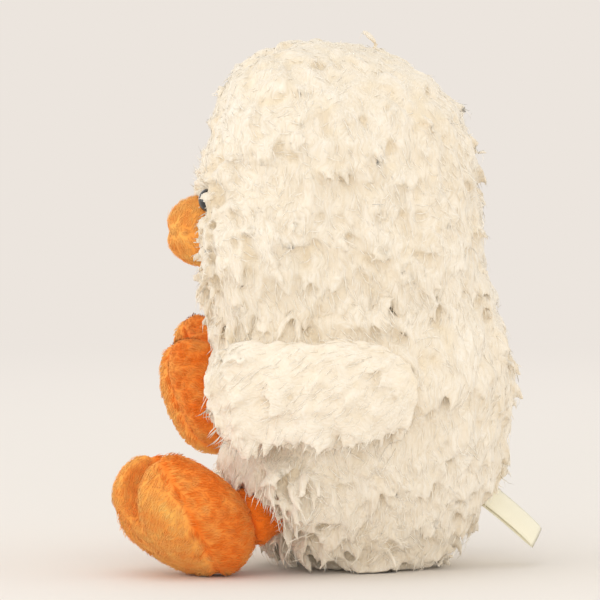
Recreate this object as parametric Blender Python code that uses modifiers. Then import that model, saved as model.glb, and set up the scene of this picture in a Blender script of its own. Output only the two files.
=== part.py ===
"""Seated plush chick, in metres, with +Z up.

The chick faces -Y and its left side is +X. It sits on the plane z = 0, and the origin is in the middle
of the flat seat under its body. Each stuffed piece is one solid: its sewn skin and its filling together.
"""

import functools
import math
import random

import bmesh
import bpy
from mathutils import Matrix, Vector, noise

UP = Vector((0, 0, 1))

# Gap left between pieces that are sewn or pressed together
SEAM_GAP = 0.0004

# Body, over the pile
BODY_WIDTH = 0.150
BODY_DEPTH = 0.160
BODY_WAIST_Z = 0.090
BODY_UPPER_HEIGHT = 0.075
SEAT_FLATTENED = 0.010
BODY_LOWER_SQUARENESS = 2.05
BODY_UPPER_SQUARENESS = 2.5
BELLY_TUCK = 0.027

# Neck: how far below the top of the shoulders the head is sewn on, how far the head is drawn in there,
# and how much the seam rises towards the back, in degrees
NECK_BELOW_SHOULDERS = 0.026
HEAD_DRAWN_IN = 0.024
NECK_TILT = 9.0

# Head, over the pile
HEAD_WIDTH = 0.148
HEAD_DEPTH = 0.148
HEAD_UPPER_HEIGHT = 0.096
HEAD_LOWER_HEIGHT = 0.060
HEAD_UPPER_SQUARENESS = 2.5
HEAD_LOWER_SQUARENESS = 3.4
HEAD_FORWARD = 0.0105
CROWN_LEAN = 0.010

# Locks of pile on the fur pieces
LOCK_DEPTH = 0.0055
LOCK_SWEEP = 0.0060
LOCK_SHIFT = 0.28
LOCK_SPREAD = 0.35
SWIRL_SIZE = 0.035
SWIRL_ANGLE = 75.0
HEAD_LOCKS_ACROSS = 9
BODY_LOCKS_ACROSS = 11
WING_LOCKS_ACROSS = 5
PARTING = 0.006

# Wings, laid forward along the sides of the body
WING_LENGTH = 0.120
WING_HEIGHT = 0.059
WING_THICKNESS = 0.026
WING_MIDDLE_Z = 0.096
WING_MIDDLE_ANGLE = 14.0
RIGHT_WING_PUSHED_BACK = 24.0
WING_PRESSED_IN = 0.010
WING_SQUARENESS = 2.8
WING_LOCK_DEPTH = 0.0040

# Beak
BEAK_WIDTH = 0.044
BEAK_HEIGHT = 0.0385
BEAK_FRONT = 0.0240
BEAK_ROOT = 0.0080
BEAK_SHOWING = 0.0145
BEAK_MIDDLE_Z = 0.1695
BEAK_SQUARENESS = 2.2
MOUTH_CREASE = 0.0016
MOUTH_CREASE_WIDTH = 0.0028

# Safety eyes: a dome on a ribbed shank, held inside the head by a lock washer
EYE_APART = 0.054
EYE_Z = 0.1865
EYE_RADIUS = 0.0058
EYE_DOME = 0.0046
EYE_SKIN_DEPTH = 0.0052
EYE_TRIM = 0.0016
SHANK_RADIUS = 0.0016
SHANK_PAST_WASHER = 0.0053
WASHER_RADIUS = 0.0056
WASHER_THICKNESS = 0.0012
WASHER_BACK = 0.0060

# Legs: stuffed tubes, let into the body at the hip and sewn on to the foot's skin at the ankle
LEG_DIAMETER = 0.027
HIP_BEHIND_BELLY = 0.054
LEFT_HIP_IN_FROM_SIDE = 0.045
LEFT_HIP_Z = 0.038
RIGHT_HIP_IN_FROM_SIDE = 0.041
RIGHT_HIP_Z = 0.048

# Feet: webbed, three toes each
FOOT_WIDTH = 0.066
FOOT_LENGTH = 0.079
FOOT_THICKNESS = 0.048
FOOT_SQUARENESS = 2.5
FOOT_HEEL_TAPER = 0.34
ANKLE_BEHIND_MIDDLE = 0.015
TOE_ANGLE = 58.0
TOE_NOTCH = 0.22
TOE_NOTCH_ANGLE = 10.0
TOE_NOTCH_FROM = 0.15
TOE_GROOVE = 0.30
TOE_GROOVE_FROM = 0.35

# The left foot lies on the seat's plane, and its underside is pressed a little flat there
LEFT_FOOT_IN_FROM_SIDE = 0.028
LEFT_FOOT_AHEAD_OF_BELLY = 0.0085
LEFT_FOOT_FLATTENED = 0.002
LEFT_FOOT_TOES = Vector((0.06, -0.82, 0.56))
LEFT_FOOT_TOP = Vector((-0.42, 0.48, 0.74))

# The right foot is raised beside the belly
RIGHT_FOOT_IN_FROM_SIDE = 0.021
RIGHT_FOOT_BEHIND_BELLY = 0.009
RIGHT_FOOT_BELOW_WAIST = 0.001
RIGHT_FOOT_TOES = Vector((-0.50, 0.14, 0.80))
RIGHT_FOOT_TOP = Vector((0.80, 0.45, 0.40))

# Label: a ribbon folded in two, with both ends sewn into the back seam
LABEL_WIDTH = 0.021
LABEL_LENGTH = 0.044
LABEL_RIBBON = 0.0005
LABEL_FOLD_RADIUS = 0.0007
LABEL_SEWN_IN = 0.010
LABEL_Z = 0.0365
LABEL_DIRECTION = Vector((0.0, 0.83, -0.56))
LABEL_TOP = Vector((0.44, 0.50, 0.74))
LABEL_SAG = 0.004

# Mesh density of the smooth pieces
FOOT_FACES_ACROSS = 8
BEAK_FACES_ACROSS = 6
LEG_FACES_ACROSS = 4
TURNED_STEPS = 16
LABEL_STEPS = 6
LOCK_SEED = 7

BODY_LOWER_HEIGHT = BODY_WAIST_Z + SEAT_FLATTENED
NECK_Z = BODY_WAIST_Z + BODY_UPPER_HEIGHT - NECK_BELOW_SHOULDERS
SHANK_LENGTH = WASHER_BACK + WASHER_THICKNESS + SHANK_PAST_WASHER
HEAD_WAIST_Z = NECK_Z - HEAD_DRAWN_IN + HEAD_LOWER_HEIGHT
WING_BEND_RADIUS = (BODY_WIDTH + BODY_DEPTH) / 4 + WING_THICKNESS / 2
TRIM_BOX = 4 * max(BODY_DEPTH, HEAD_DEPTH)


def clear_scene():
    """Removes whatever the scene holds."""
    for obj in list(bpy.data.objects):
        bpy.data.objects.remove(obj)


def new_collection(name):
    """A new collection, linked to the scene."""
    collection = bpy.data.collections.new(name)
    bpy.context.scene.collection.children.link(collection)
    return collection


def new_material(name, colour, roughness, sheen=0.0):
    """A Principled BSDF with one colour."""
    material = bpy.data.materials.new(name)
    material.use_nodes = True
    shader = material.node_tree.nodes["Principled BSDF"]
    shader.inputs["Base Color"].default_value = (*colour, 1.0)
    shader.inputs["Roughness"].default_value = roughness
    shader.inputs["Sheen Weight"].default_value = sheen
    material.diffuse_color = (*colour, 1.0)
    return material


def quad_ball(faces_across):
    """A unit ball of even quads: a cube with its sides divided and its corners drawn onto the ball."""
    bm = bmesh.new()
    bmesh.ops.create_cube(bm, size=2.0)
    bmesh.ops.subdivide_edges(bm, edges=bm.edges[:], cuts=faces_across - 1, use_grid_fill=True)
    for vert in bm.verts:
        warped = Vector([math.tan(c * math.pi / 4) for c in vert.co])
        vert.co = warped.normalized()
    return bm


def rounded_box(direction, squareness):
    """The point of a unit superellipsoid in that direction. Squareness 2 is a ball, and more is boxier."""
    total = sum(abs(c) ** squareness for c in direction)
    return direction / total ** (1 / squareness)


def add_piece(name, bm, collection, material):
    """Turns a bmesh into a named object of triangles, so that a seat cut for it has the same ones."""
    mesh = bpy.data.meshes.new(name)
    bm.normal_update()
    bmesh.ops.recalc_face_normals(bm, faces=bm.faces[:])
    bmesh.ops.triangulate(bm, faces=bm.faces[:])
    bm.to_mesh(mesh)
    bm.free()
    mesh.shade_smooth()
    obj = bpy.data.objects.new(name, mesh)
    collection.objects.link(obj)
    mesh.materials.append(material)
    return obj


def aimed(middle, along, top):
    """The matrix that puts a piece at middle, its own +Y along and its own +Z as near top as it goes."""
    y_axis = along.normalized()
    x_axis = y_axis.cross(top).normalized()
    z_axis = x_axis.cross(y_axis)
    turned = Matrix((x_axis, y_axis, z_axis)).transposed()
    return Matrix.Translation(middle) @ turned.to_4x4()


def smooth_step(value):
    """0 below 0, 1 above 1 and an even curve between."""
    value = min(1.0, max(0.0, value))
    return value * value * (3 - 2 * value)


def body_section(z):
    """Half the body's width and depth at that height, as shares of the whole: 1 at the waist."""
    rise = z - BODY_WAIST_Z
    upper = rise > 0
    height = BODY_UPPER_HEIGHT if upper else BODY_LOWER_HEIGHT
    power = BODY_UPPER_SQUARENESS if upper else BODY_LOWER_SQUARENESS
    share = min(0.999, abs(rise) / height)
    return (1 - share**power) ** (1 / power)


def body_form(direction):
    """The body over its pile: an egg that is tucked in under the belly."""
    power = BODY_UPPER_SQUARENESS if direction.z > 0 else BODY_LOWER_SQUARENESS
    height = BODY_UPPER_HEIGHT if direction.z > 0 else BODY_LOWER_HEIGHT
    point = rounded_box(direction, power)
    front = max(0.0, -point.y)
    below = smooth_step(-point.z)
    return Vector(
        (
            point.x * BODY_WIDTH / 2,
            point.y * BODY_DEPTH / 2 + BELLY_TUCK * front * below,
            BODY_WAIST_Z + point.z * height,
        )
    )


def head_form(direction):
    """The head over its pile: a boxy ball whose crown leans forward."""
    power = HEAD_UPPER_SQUARENESS if direction.z > 0 else HEAD_LOWER_SQUARENESS
    height = HEAD_UPPER_HEIGHT if direction.z > 0 else HEAD_LOWER_HEIGHT
    point = rounded_box(direction, power)
    lean = CROWN_LEAN * max(0.0, point.z) ** 3
    return Vector(
        (
            point.x * HEAD_WIDTH / 2,
            point.y * HEAD_DEPTH / 2 - HEAD_FORWARD - lean,
            HEAD_WAIST_Z + point.z * height,
        )
    )


def on_face(x, z):
    """The point of the head's front at that x and z, over the pile, and the way out from it."""
    rise = z - HEAD_WAIST_Z
    height = HEAD_UPPER_HEIGHT if rise > 0 else HEAD_LOWER_HEIGHT
    power = HEAD_UPPER_SQUARENESS if rise > 0 else HEAD_LOWER_SQUARENESS
    side = abs(x) / (HEAD_WIDTH / 2)
    up = abs(rise) / height
    front = max(0.01, 1 - side**power - up**power) ** (1 / power)
    lean = CROWN_LEAN * max(0.0, rise / height) ** 3
    point = Vector((x, -front * HEAD_DEPTH / 2 - HEAD_FORWARD - lean, z))
    slope = power - 1
    out = Vector(
        (
            math.copysign(side**slope / (HEAD_WIDTH / 2), x),
            -(front**slope) / (HEAD_DEPTH / 2),
            math.copysign(up**slope / height, rise),
        )
    )
    return point, out.normalized()


def wing_angle(side):
    """Where a wing's middle lies, in radians forward of the body's side.

    The raised foot pushes the right wing back.
    """
    pushed = RIGHT_WING_PUSHED_BACK if side < 0 else 0.0
    return math.radians(WING_MIDDLE_ANGLE - pushed)


def wing_form(direction, side):
    """A wing over its pile: a flat paddle that follows the body's side. Side is 1 left, -1 right."""
    point = rounded_box(direction, WING_SQUARENESS)
    along = point.x * WING_LENGTH / 2
    z = WING_MIDDLE_Z + point.z * WING_HEIGHT / 2
    out = (point.y + 1) * WING_THICKNESS / 2 - WING_PRESSED_IN
    half_width = BODY_WIDTH / 2 * body_section(z)
    half_depth = BODY_DEPTH / 2 * body_section(z)
    angle = wing_angle(side) + along / WING_BEND_RADIUS
    normal = Vector((math.cos(angle) / half_width, -math.sin(angle) / half_depth, 0)).normalized()
    skin = Vector((half_width * math.cos(angle), -half_depth * math.sin(angle), z))
    placed = skin + normal * out
    return Vector((placed.x * side, placed.y, placed.z))


def beak_form(direction):
    """The beak: a blunt stuffed bud with a crease where its upper and lower panels meet."""
    point = rounded_box(direction, BEAK_SQUARENESS)
    length = BEAK_FRONT if point.y < 0 else BEAK_ROOT
    crease = math.exp(-((point.z * BEAK_HEIGHT / 2 / MOUTH_CREASE_WIDTH) ** 2)) * smooth_step(-point.y)
    squeeze = 1 - crease * MOUTH_CREASE / BEAK_FRONT
    return Vector(
        (
            point.x * BEAK_WIDTH / 2 * squeeze,
            point.y * length * squeeze,
            point.z * BEAK_HEIGHT / 2,
        )
    )


def toe_notch(angle):
    """How deep the outline dips at that angle from the middle toe, from 0 to 1."""
    off = (abs(math.degrees(angle)) - TOE_ANGLE / 2) / TOE_NOTCH_ANGLE
    return math.exp(-off * off)


def foot_form(direction):
    """A webbed foot in its own frame: toes to +Y, top to +Z."""
    point = rounded_box(direction, FOOT_SQUARENESS)
    angle = math.atan2(point.x, point.y)
    reach = math.hypot(point.x, point.y)
    dip = toe_notch(angle)
    plan = 1 - TOE_NOTCH * dip * smooth_step((reach - TOE_NOTCH_FROM) / (1 - TOE_NOTCH_FROM))
    toward_heel = smooth_step(-point.y)
    narrowed = 1 - FOOT_HEEL_TAPER * toward_heel
    groove = 1 - TOE_GROOVE * dip * smooth_step((reach - TOE_GROOVE_FROM) / (1 - TOE_GROOVE_FROM))
    return Vector(
        (
            point.x * plan * narrowed * FOOT_WIDTH / 2,
            point.y * plan * FOOT_LENGTH / 2,
            point.z * groove * FOOT_THICKNESS / 2,
        )
    )


def free_of_wings(point):
    """0 where a wing presses the body's pile flat and 1 clear of it."""
    half_width = BODY_WIDTH / 2 * body_section(point.z)
    half_depth = BODY_DEPTH / 2 * body_section(point.z)
    angle = math.atan2(-point.y / half_depth, abs(point.x) / half_width)
    along = (angle - wing_angle(math.copysign(1, point.x))) * WING_BEND_RADIUS
    across = point.z - WING_MIDDLE_Z
    past_end = abs(along) - WING_LENGTH / 2
    past_edge = abs(across) - WING_HEIGHT / 2
    return smooth_step(max(past_end, past_edge) / PARTING)


def free_of_neck(point):
    """0 at the neck seam and above it, and 1 clear below it."""
    seam = NECK_Z + point.y * math.tan(math.radians(NECK_TILT))
    return smooth_step((seam - point.z) / PARTING - 1)


def free_of_rods(point, rods):
    """0 where the pile parts round what is sewn in, and 1 clear of it.

    A rod is the start, the end and the radius of a round-ended space.
    """
    share = 1.0
    for start, end, radius in rods:
        run = end - start
        along = (point - start).dot(run) / max(run.length_squared, 1e-9)
        nearest = start + run * min(1.0, max(0.0, along))
        share *= smooth_step(((point - nearest).length - radius) / PARTING)
    return share


def left_foot_place():
    """Where the left foot is: ahead of the belly, with its lowest point pressed into the seat's plane."""
    middle = Vector((BODY_WIDTH / 2 - LEFT_FOOT_IN_FROM_SIDE, -BODY_DEPTH / 2 - LEFT_FOOT_AHEAD_OF_BELLY, 0))
    place = aimed(middle, LEFT_FOOT_TOES, LEFT_FOOT_TOP)
    bm = shaped(quad_ball(FOOT_FACES_ACROSS), foot_form)
    lowest = min((place @ vert.co).z for vert in bm.verts)
    bm.free()
    return Matrix.Translation(UP * (-lowest - LEFT_FOOT_FLATTENED)) @ place


def right_foot_place():
    """Where the right foot is: raised, beside the belly."""
    middle = Vector(
        (
            RIGHT_FOOT_IN_FROM_SIDE - BODY_WIDTH / 2,
            RIGHT_FOOT_BEHIND_BELLY - BODY_DEPTH / 2,
            BODY_WAIST_Z - RIGHT_FOOT_BELOW_WAIST,
        )
    )
    return aimed(middle, RIGHT_FOOT_TOES, RIGHT_FOOT_TOP)


def hips():
    """The inner ends of the left leg and the right leg."""
    depth = HIP_BEHIND_BELLY - BODY_DEPTH / 2
    left = Vector((BODY_WIDTH / 2 - LEFT_HIP_IN_FROM_SIDE, depth, LEFT_HIP_Z))
    right = Vector((RIGHT_HIP_IN_FROM_SIDE - BODY_WIDTH / 2, depth, RIGHT_HIP_Z))
    return left, right


def ankle_in(foot_place):
    """The outer end of the leg that carries a foot."""
    return foot_place @ Vector((0, -ANKLE_BEHIND_MIDDLE, 0))


def foot_rod(foot_place):
    """The space that a foot takes, as a rod."""
    reach = Vector((0, (FOOT_LENGTH - FOOT_WIDTH) / 2, 0))
    return foot_place @ -reach, foot_place @ reach, FOOT_WIDTH / 2


def rods_in_head():
    """What is sewn into the head, and the foot that is pressed to it."""
    beak_middle = on_face(0, BEAK_MIDDLE_Z)[0]
    rods = [(beak_middle, beak_middle, max(BEAK_WIDTH, BEAK_HEIGHT) / 2)]
    for side in (1, -1):
        eye_middle = on_face(side * EYE_APART / 2, EYE_Z)[0]
        rods.append((eye_middle, eye_middle, EYE_RADIUS + EYE_TRIM))
    return [*rods, foot_rod(right_foot_place())]


def rods_in_body():
    """What is sewn into the body, and the feet beside it."""
    label_root = Vector((0, BODY_DEPTH / 2 * body_section(LABEL_Z), LABEL_Z))
    rods = [(label_root, label_root, LABEL_WIDTH / 2)]
    for hip, foot_place in zip(hips(), (left_foot_place(), right_foot_place())):
        rods.append((hip, ankle_in(foot_place), LEG_DIAMETER / 2))
        rods.append(foot_rod(foot_place))
    return rods


def outer_side(point):
    """0 on the side of a wing that lies against the body and 1 on its outer side."""
    half_width = BODY_WIDTH / 2 * body_section(point.z)
    half_depth = BODY_DEPTH / 2 * body_section(point.z)
    stretch = math.hypot(point.x / half_width, point.y / half_depth)
    return smooth_step((stretch - 1) * half_width / WING_PRESSED_IN)


def raise_locks(bm, depth, free):
    """Raises the middle of each face into a lock of pile that hangs down the surface in loose swirls."""
    bm.normal_update()
    chance = random.Random(LOCK_SEED)
    for vert in bm.verts:
        step = min(edge.calc_length() for edge in vert.link_edges) * LOCK_SHIFT
        away = Vector([chance.uniform(-step, step) for _ in range(3)])
        vert.co += (away - vert.normal * away.dot(vert.normal)) * free(vert.co)
    poked = bmesh.ops.poke(bm, faces=bm.faces[:], center_mode="MEAN")
    bm.normal_update()
    for vert in poked["verts"]:
        normal = vert.normal.copy()
        down = normal * normal.z - UP
        turn = math.radians(SWIRL_ANGLE) * noise.noise(vert.co / SWIRL_SIZE)
        down.rotate(Matrix.Rotation(2 * turn, 3, normal))
        size = (1 + LOCK_SPREAD * chance.uniform(-1, 1)) * free(vert.co)
        vert.co += normal * depth * size + down * LOCK_SWEEP * size


def shaped(bm, form):
    """Moves each vertex of a unit ball to its place on a form, and turns the faces outwards."""
    for vert in bm.verts:
        vert.co = form(vert.co.normalized())
    bm.normal_update()
    bmesh.ops.recalc_face_normals(bm, faces=bm.faces[:])
    return bm


def under_pile(bm, depth):
    """Draws a surface in by the depth of its locks."""
    bm.normal_update()
    moves = [vert.normal * depth for vert in bm.verts]
    for vert, move in zip(bm.verts, moves):
        vert.co -= move


def fur_piece(name, form, across, depth, free, collection, material):
    """A stuffed piece in long pile."""
    bm = shaped(quad_ball(across), form)
    under_pile(bm, depth)
    raise_locks(bm, depth, free)
    return add_piece(name, bm, collection, material)


def turned_piece(name, profile, place, collection, material):
    """A turned solid. The profile is (radius, height) points down its outer side, from axis to axis."""
    mesh = bpy.data.meshes.new(name)
    points = [(radius, 0, height) for radius, height in profile]
    mesh.from_pydata(points, [(i, i + 1) for i in range(len(points) - 1)], [])
    mesh.materials.append(material)
    obj = bpy.data.objects.new(name, mesh)
    collection.objects.link(obj)
    screw = obj.modifiers.new("Turn", "SCREW")
    screw.steps = TURNED_STEPS
    screw.render_steps = TURNED_STEPS
    screw.use_merge_vertices = True
    screw.merge_threshold = 0.00001
    obj.matrix_world = place
    return obj


def dome_profile(radius, height, points=5):
    """A quarter of an ellipse from the axis down to the rim."""
    quarter = [math.pi / 2 * i / points for i in range(points + 1)]
    return [(radius * math.sin(a), height * math.cos(a)) for a in quarter]


def as_cutter(obj, collection, gap=SEAM_GAP):
    """A copy of a piece that is larger by the gap, to cut the seat it is sewn into."""
    cutter = bpy.data.objects.new(obj.name + "_seat", obj.data)
    collection.objects.link(cutter)
    cutter.matrix_world = obj.matrix_world.copy()
    grow = cutter.modifiers.new("Gap", "DISPLACE")
    grow.strength = gap
    grow.mid_level = 0
    hide_helper(cutter)
    return cutter


def box_cutter(name, low, high, collection):
    """A plain box between two corners, used only to cut."""
    bm = bmesh.new()
    bmesh.ops.create_cube(bm, size=1.0)
    middle = (Vector(low) + Vector(high)) / 2
    sides = Vector(high) - Vector(low)
    bmesh.ops.scale(bm, vec=sides, verts=bm.verts[:])
    bmesh.ops.translate(bm, vec=middle, verts=bm.verts[:])
    mesh = bpy.data.meshes.new(name)
    bm.to_mesh(mesh)
    bm.free()
    obj = bpy.data.objects.new(name, mesh)
    collection.objects.link(obj)
    hide_helper(obj)
    return obj


def hide_helper(obj):
    """Keeps a cutter out of the model."""
    obj.hide_render = True
    obj.display_type = "WIRE"


def cut(obj, *cutters):
    """Cuts each cutter out of a piece."""
    for cutter in cutters:
        boolean = obj.modifiers.new(cutter.name, "BOOLEAN")
        boolean.operation = "DIFFERENCE"
        boolean.solver = "EXACT"
        boolean.object = cutter


def make_eye(side, parts, cutters, plastic, washer_plastic):
    """A safety eye, its washer and the cutter for its socket. Side is 1 left, -1 right."""
    name = "left" if side > 0 else "right"
    point, out = on_face(side * EYE_APART / 2, EYE_Z)
    turned = out.to_track_quat("Z", "Y").to_matrix().to_4x4()
    place = Matrix.Translation(point - out * EYE_SKIN_DEPTH) @ turned
    dome = dome_profile(EYE_RADIUS, EYE_DOME)
    eye = turned_piece(
        f"eye_{name}",
        [*dome, (SHANK_RADIUS, 0), (SHANK_RADIUS, -SHANK_LENGTH), (0, -SHANK_LENGTH)],
        place,
        parts,
        plastic,
    )
    bore = SHANK_RADIUS + SEAM_GAP
    washer_top = -WASHER_BACK
    washer_foot = washer_top - WASHER_THICKNESS
    washer = turned_piece(
        f"eye_washer_{name}",
        [
            (bore, washer_top),
            (WASHER_RADIUS, washer_top),
            (WASHER_RADIUS, washer_foot),
            (bore, washer_foot),
            (bore, washer_top),
        ],
        place,
        parts,
        washer_plastic,
    )
    trim = EYE_RADIUS + EYE_TRIM
    socket = turned_piece(
        f"eye_socket_{name}",
        [
            (0, 2 * LOCK_DEPTH + EYE_SKIN_DEPTH),
            (trim, 2 * LOCK_DEPTH + EYE_SKIN_DEPTH),
            (trim, -SEAM_GAP),
            (bore, -SEAM_GAP),
            (bore, washer_top + SEAM_GAP),
            (WASHER_RADIUS + SEAM_GAP, washer_top + SEAM_GAP),
            (WASHER_RADIUS + SEAM_GAP, washer_foot - SEAM_GAP),
            (bore, washer_foot - SEAM_GAP),
            (bore, -SHANK_LENGTH - SEAM_GAP),
            (0, -SHANK_LENGTH - SEAM_GAP),
        ],
        place,
        cutters,
        plastic,
    )
    hide_helper(socket)
    return eye, washer, socket


def make_leg(name, hip, ankle, collection, material):
    """A stuffed tube with round ends, from hip to ankle."""
    bm = quad_ball(LEG_FACES_ACROSS)
    radius = LEG_DIAMETER / 2
    reach = (ankle - hip).length / 2
    for vert in bm.verts:
        straight = math.copysign(reach, vert.co.y)
        vert.co = Vector((vert.co.x * radius, vert.co.y * radius + straight, vert.co.z * radius))
    leg = add_piece(name, bm, collection, material)
    leg.matrix_world = aimed((hip + ankle) / 2, ankle - hip, UP)
    return leg


def make_foot(name, place, collection, material):
    """A webbed foot."""
    bm = shaped(quad_ball(FOOT_FACES_ACROSS), foot_form)
    foot = add_piece(name, bm, collection, material)
    foot.matrix_world = place
    return foot


def make_label(collection, cutters, material):
    """The folded ribbon and the slot that its ends are sewn into. Its own +Y runs away from the body."""
    run = LABEL_LENGTH - LABEL_FOLD_RADIUS
    outward = [i / LABEL_STEPS * run for i in range(LABEL_STEPS + 1)]
    fold = [math.pi / 2 - math.pi * i / LABEL_STEPS for i in range(1, LABEL_STEPS)]
    line = [(y, LABEL_FOLD_RADIUS) for y in outward]
    line += [(run + LABEL_FOLD_RADIUS * math.cos(a), LABEL_FOLD_RADIUS * math.sin(a)) for a in fold]
    line += [(y, -LABEL_FOLD_RADIUS) for y in reversed(outward)]
    bm = bmesh.new()
    rows = []
    for y, z in line:
        sag = LABEL_SAG * (max(0.0, y - LABEL_SEWN_IN) / run) ** 2
        rows.append([bm.verts.new((x, y, z - sag)) for x in (-LABEL_WIDTH / 2, LABEL_WIDTH / 2)])
    for near, far in zip(rows, rows[1:]):
        bm.faces.new((near[0], near[1], far[1], far[0]))
    label = add_piece("sewn_in_label", bm, collection, material)
    wall = label.modifiers.new("Ribbon", "SOLIDIFY")
    wall.thickness = LABEL_RIBBON
    wall.offset = 0
    body_back = BODY_DEPTH / 2 * body_section(LABEL_Z)
    direction = LABEL_DIRECTION.normalized()
    root = Vector((0, body_back - LOCK_DEPTH, LABEL_Z)) - direction * LABEL_SEWN_IN
    label.matrix_world = aimed(root, direction, LABEL_TOP)
    half_stack = LABEL_FOLD_RADIUS + LABEL_RIBBON / 2 + SEAM_GAP
    slot = box_cutter(
        "label_slot",
        (-LABEL_WIDTH / 2 - SEAM_GAP, -SEAM_GAP, -half_stack - LABEL_SAG),
        (LABEL_WIDTH / 2 + SEAM_GAP, LABEL_LENGTH, half_stack),
        cutters,
    )
    slot.matrix_world = label.matrix_world.copy()
    return label, slot


def make_chick():
    """Builds every piece, then cuts each seat."""
    clear_scene()
    parts = new_collection("plush_chick")
    cutters = new_collection("cutters")

    cream = new_material("cream_long_pile", (0.89, 0.80, 0.64), 0.95, 0.3)
    pale = new_material("pale_wing_pile", (0.92, 0.85, 0.71), 0.95, 0.3)
    orange = new_material("orange_short_pile", (0.89, 0.30, 0.045), 0.9, 0.4)
    black = new_material("black_eye_plastic", (0.012, 0.011, 0.012), 0.15)
    clear = new_material("washer_plastic", (0.78, 0.77, 0.74), 0.5)
    ribbon = new_material("ribbon_satin", (0.90, 0.86, 0.66), 0.6)

    foot_places = (left_foot_place(), right_foot_place())
    ankles = [ankle_in(place) for place in foot_places]
    head_rods = rods_in_head()
    body_rods = rods_in_body()
    foot_rods = [foot_rod(place) for place in foot_places]

    def free_on_head(point):
        return free_of_rods(point, head_rods)

    def free_on_body(point):
        return free_of_wings(point) * free_of_neck(point) * free_of_rods(point, body_rods)

    def free_on_wing(point):
        return outer_side(point) * free_of_rods(point, foot_rods)

    head = fur_piece("head", head_form, HEAD_LOCKS_ACROSS, LOCK_DEPTH, free_on_head, parts, cream)
    body = fur_piece("body", body_form, BODY_LOCKS_ACROSS, LOCK_DEPTH, free_on_body, parts, cream)
    wings = []
    for name, side in (("wing_left", 1), ("wing_right", -1)):
        form = functools.partial(wing_form, side=side)
        wings.append(fur_piece(name, form, WING_LOCKS_ACROSS, WING_LOCK_DEPTH, free_on_wing, parts, pale))

    beak = add_piece("beak", shaped(quad_ball(BEAK_FACES_ACROSS), beak_form), parts, orange)
    face, _ = on_face(0, BEAK_MIDDLE_Z)
    beak.location = (0, face.y - BEAK_SHOWING + BEAK_FRONT, BEAK_MIDDLE_Z)

    sockets = [make_eye(side, parts, cutters, black, clear)[2] for side in (1, -1)]

    legs = []
    feet = []
    for name, hip, ankle, place in zip(("left", "right"), hips(), ankles, foot_places):
        legs.append(make_leg(f"leg_{name}", hip, ankle, parts, orange))
        feet.append(make_foot(f"foot_{name}", place, parts, orange))
    _, slot = make_label(parts, cutters, ribbon)

    bpy.context.view_layer.update()
    wide = TRIM_BOX / 2
    table = box_cutter("table", (-wide, -wide, -TRIM_BOX), (wide, wide, 0), cutters)
    above = box_cutter("above_neck", (-wide, -wide, -SEAM_GAP / 2), (wide, wide, TRIM_BOX), cutters)
    below = box_cutter("below_neck", (-wide, -wide, -TRIM_BOX), (wide, wide, SEAM_GAP / 2), cutters)
    for cutter in (above, below):
        cutter.location.z = NECK_Z
        cutter.rotation_euler.x = math.radians(NECK_TILT)
    leg_seats = [as_cutter(leg, cutters) for leg in legs]
    foot_seats = [as_cutter(foot, cutters) for foot in feet]
    wing_seats = [as_cutter(wing, cutters) for wing in wings]

    cut(head, below, as_cutter(beak, cutters), *sockets, *wing_seats, foot_seats[1])
    cut(body, table, above, *wing_seats, *leg_seats, *foot_seats, slot)
    for foot, leg, foot_seat in zip(feet, legs, foot_seats):
        cut(foot, table)
        cut(leg, foot_seat)
    for wing in wings:
        cut(wing, *foot_seats)


make_chick()
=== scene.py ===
"""Looks of the seated plush chick: its pile, its finishes, its studio and its camera.

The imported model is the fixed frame. Every stuffed piece gets a smooth skin drawn from its solid, and the
skin grows its pile with Geometry Nodes. On the head, the body and the wings, broad locks are fused with the
skin into one soft coat, on which fine loose strands lie. The beak, the legs and the feet have short brushed
pile.
"""

from __future__ import annotations

import logging
import math
import sys
from dataclasses import dataclass, field, replace
from enum import Enum

import bmesh
import bpy
import numpy as np
from mathutils import Matrix, Vector, noise
from mathutils.bvhtree import BVHTree
from mathutils.kdtree import KDTree


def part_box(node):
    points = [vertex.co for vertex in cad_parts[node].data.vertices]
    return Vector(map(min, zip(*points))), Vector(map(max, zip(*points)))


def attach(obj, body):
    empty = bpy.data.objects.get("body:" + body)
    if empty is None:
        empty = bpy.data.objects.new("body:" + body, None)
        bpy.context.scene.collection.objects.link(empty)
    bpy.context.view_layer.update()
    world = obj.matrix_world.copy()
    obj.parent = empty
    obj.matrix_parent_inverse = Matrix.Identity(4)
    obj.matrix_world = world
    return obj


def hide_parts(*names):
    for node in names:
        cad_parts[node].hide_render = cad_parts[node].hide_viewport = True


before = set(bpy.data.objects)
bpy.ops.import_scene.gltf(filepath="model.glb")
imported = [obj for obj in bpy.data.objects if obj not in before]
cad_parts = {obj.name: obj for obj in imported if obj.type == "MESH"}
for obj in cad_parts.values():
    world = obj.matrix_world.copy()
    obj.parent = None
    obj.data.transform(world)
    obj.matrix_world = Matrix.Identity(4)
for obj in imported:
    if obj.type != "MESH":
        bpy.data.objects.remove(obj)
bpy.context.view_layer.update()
LOG = logging.getLogger("plush_chick")

Colour = tuple[float, float, float, float]
UP = Vector((0, 0, 1))
DOWN = Vector((0, 0, -1))
BACK = Vector((0, 1, 0))
WELD = 0.00001
ROUND_OFF = 0.0001


class Side(Enum):
    """Which of a pair a piece is. The value is the sign of its X."""

    LEFT = 1
    RIGHT = -1

    @property
    def word(self) -> str:
        """The side as it stands in the names of nodes."""
        return self.name.lower()


class Slot(Enum):
    """The record's material slots."""

    CREAM = "cream_pile"
    WING = "wing_pile"
    ORANGE = "orange_plush"
    EYE = "eye_plastic"
    WASHER = "washer_plastic"
    LABEL = "label_ribbon"


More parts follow.
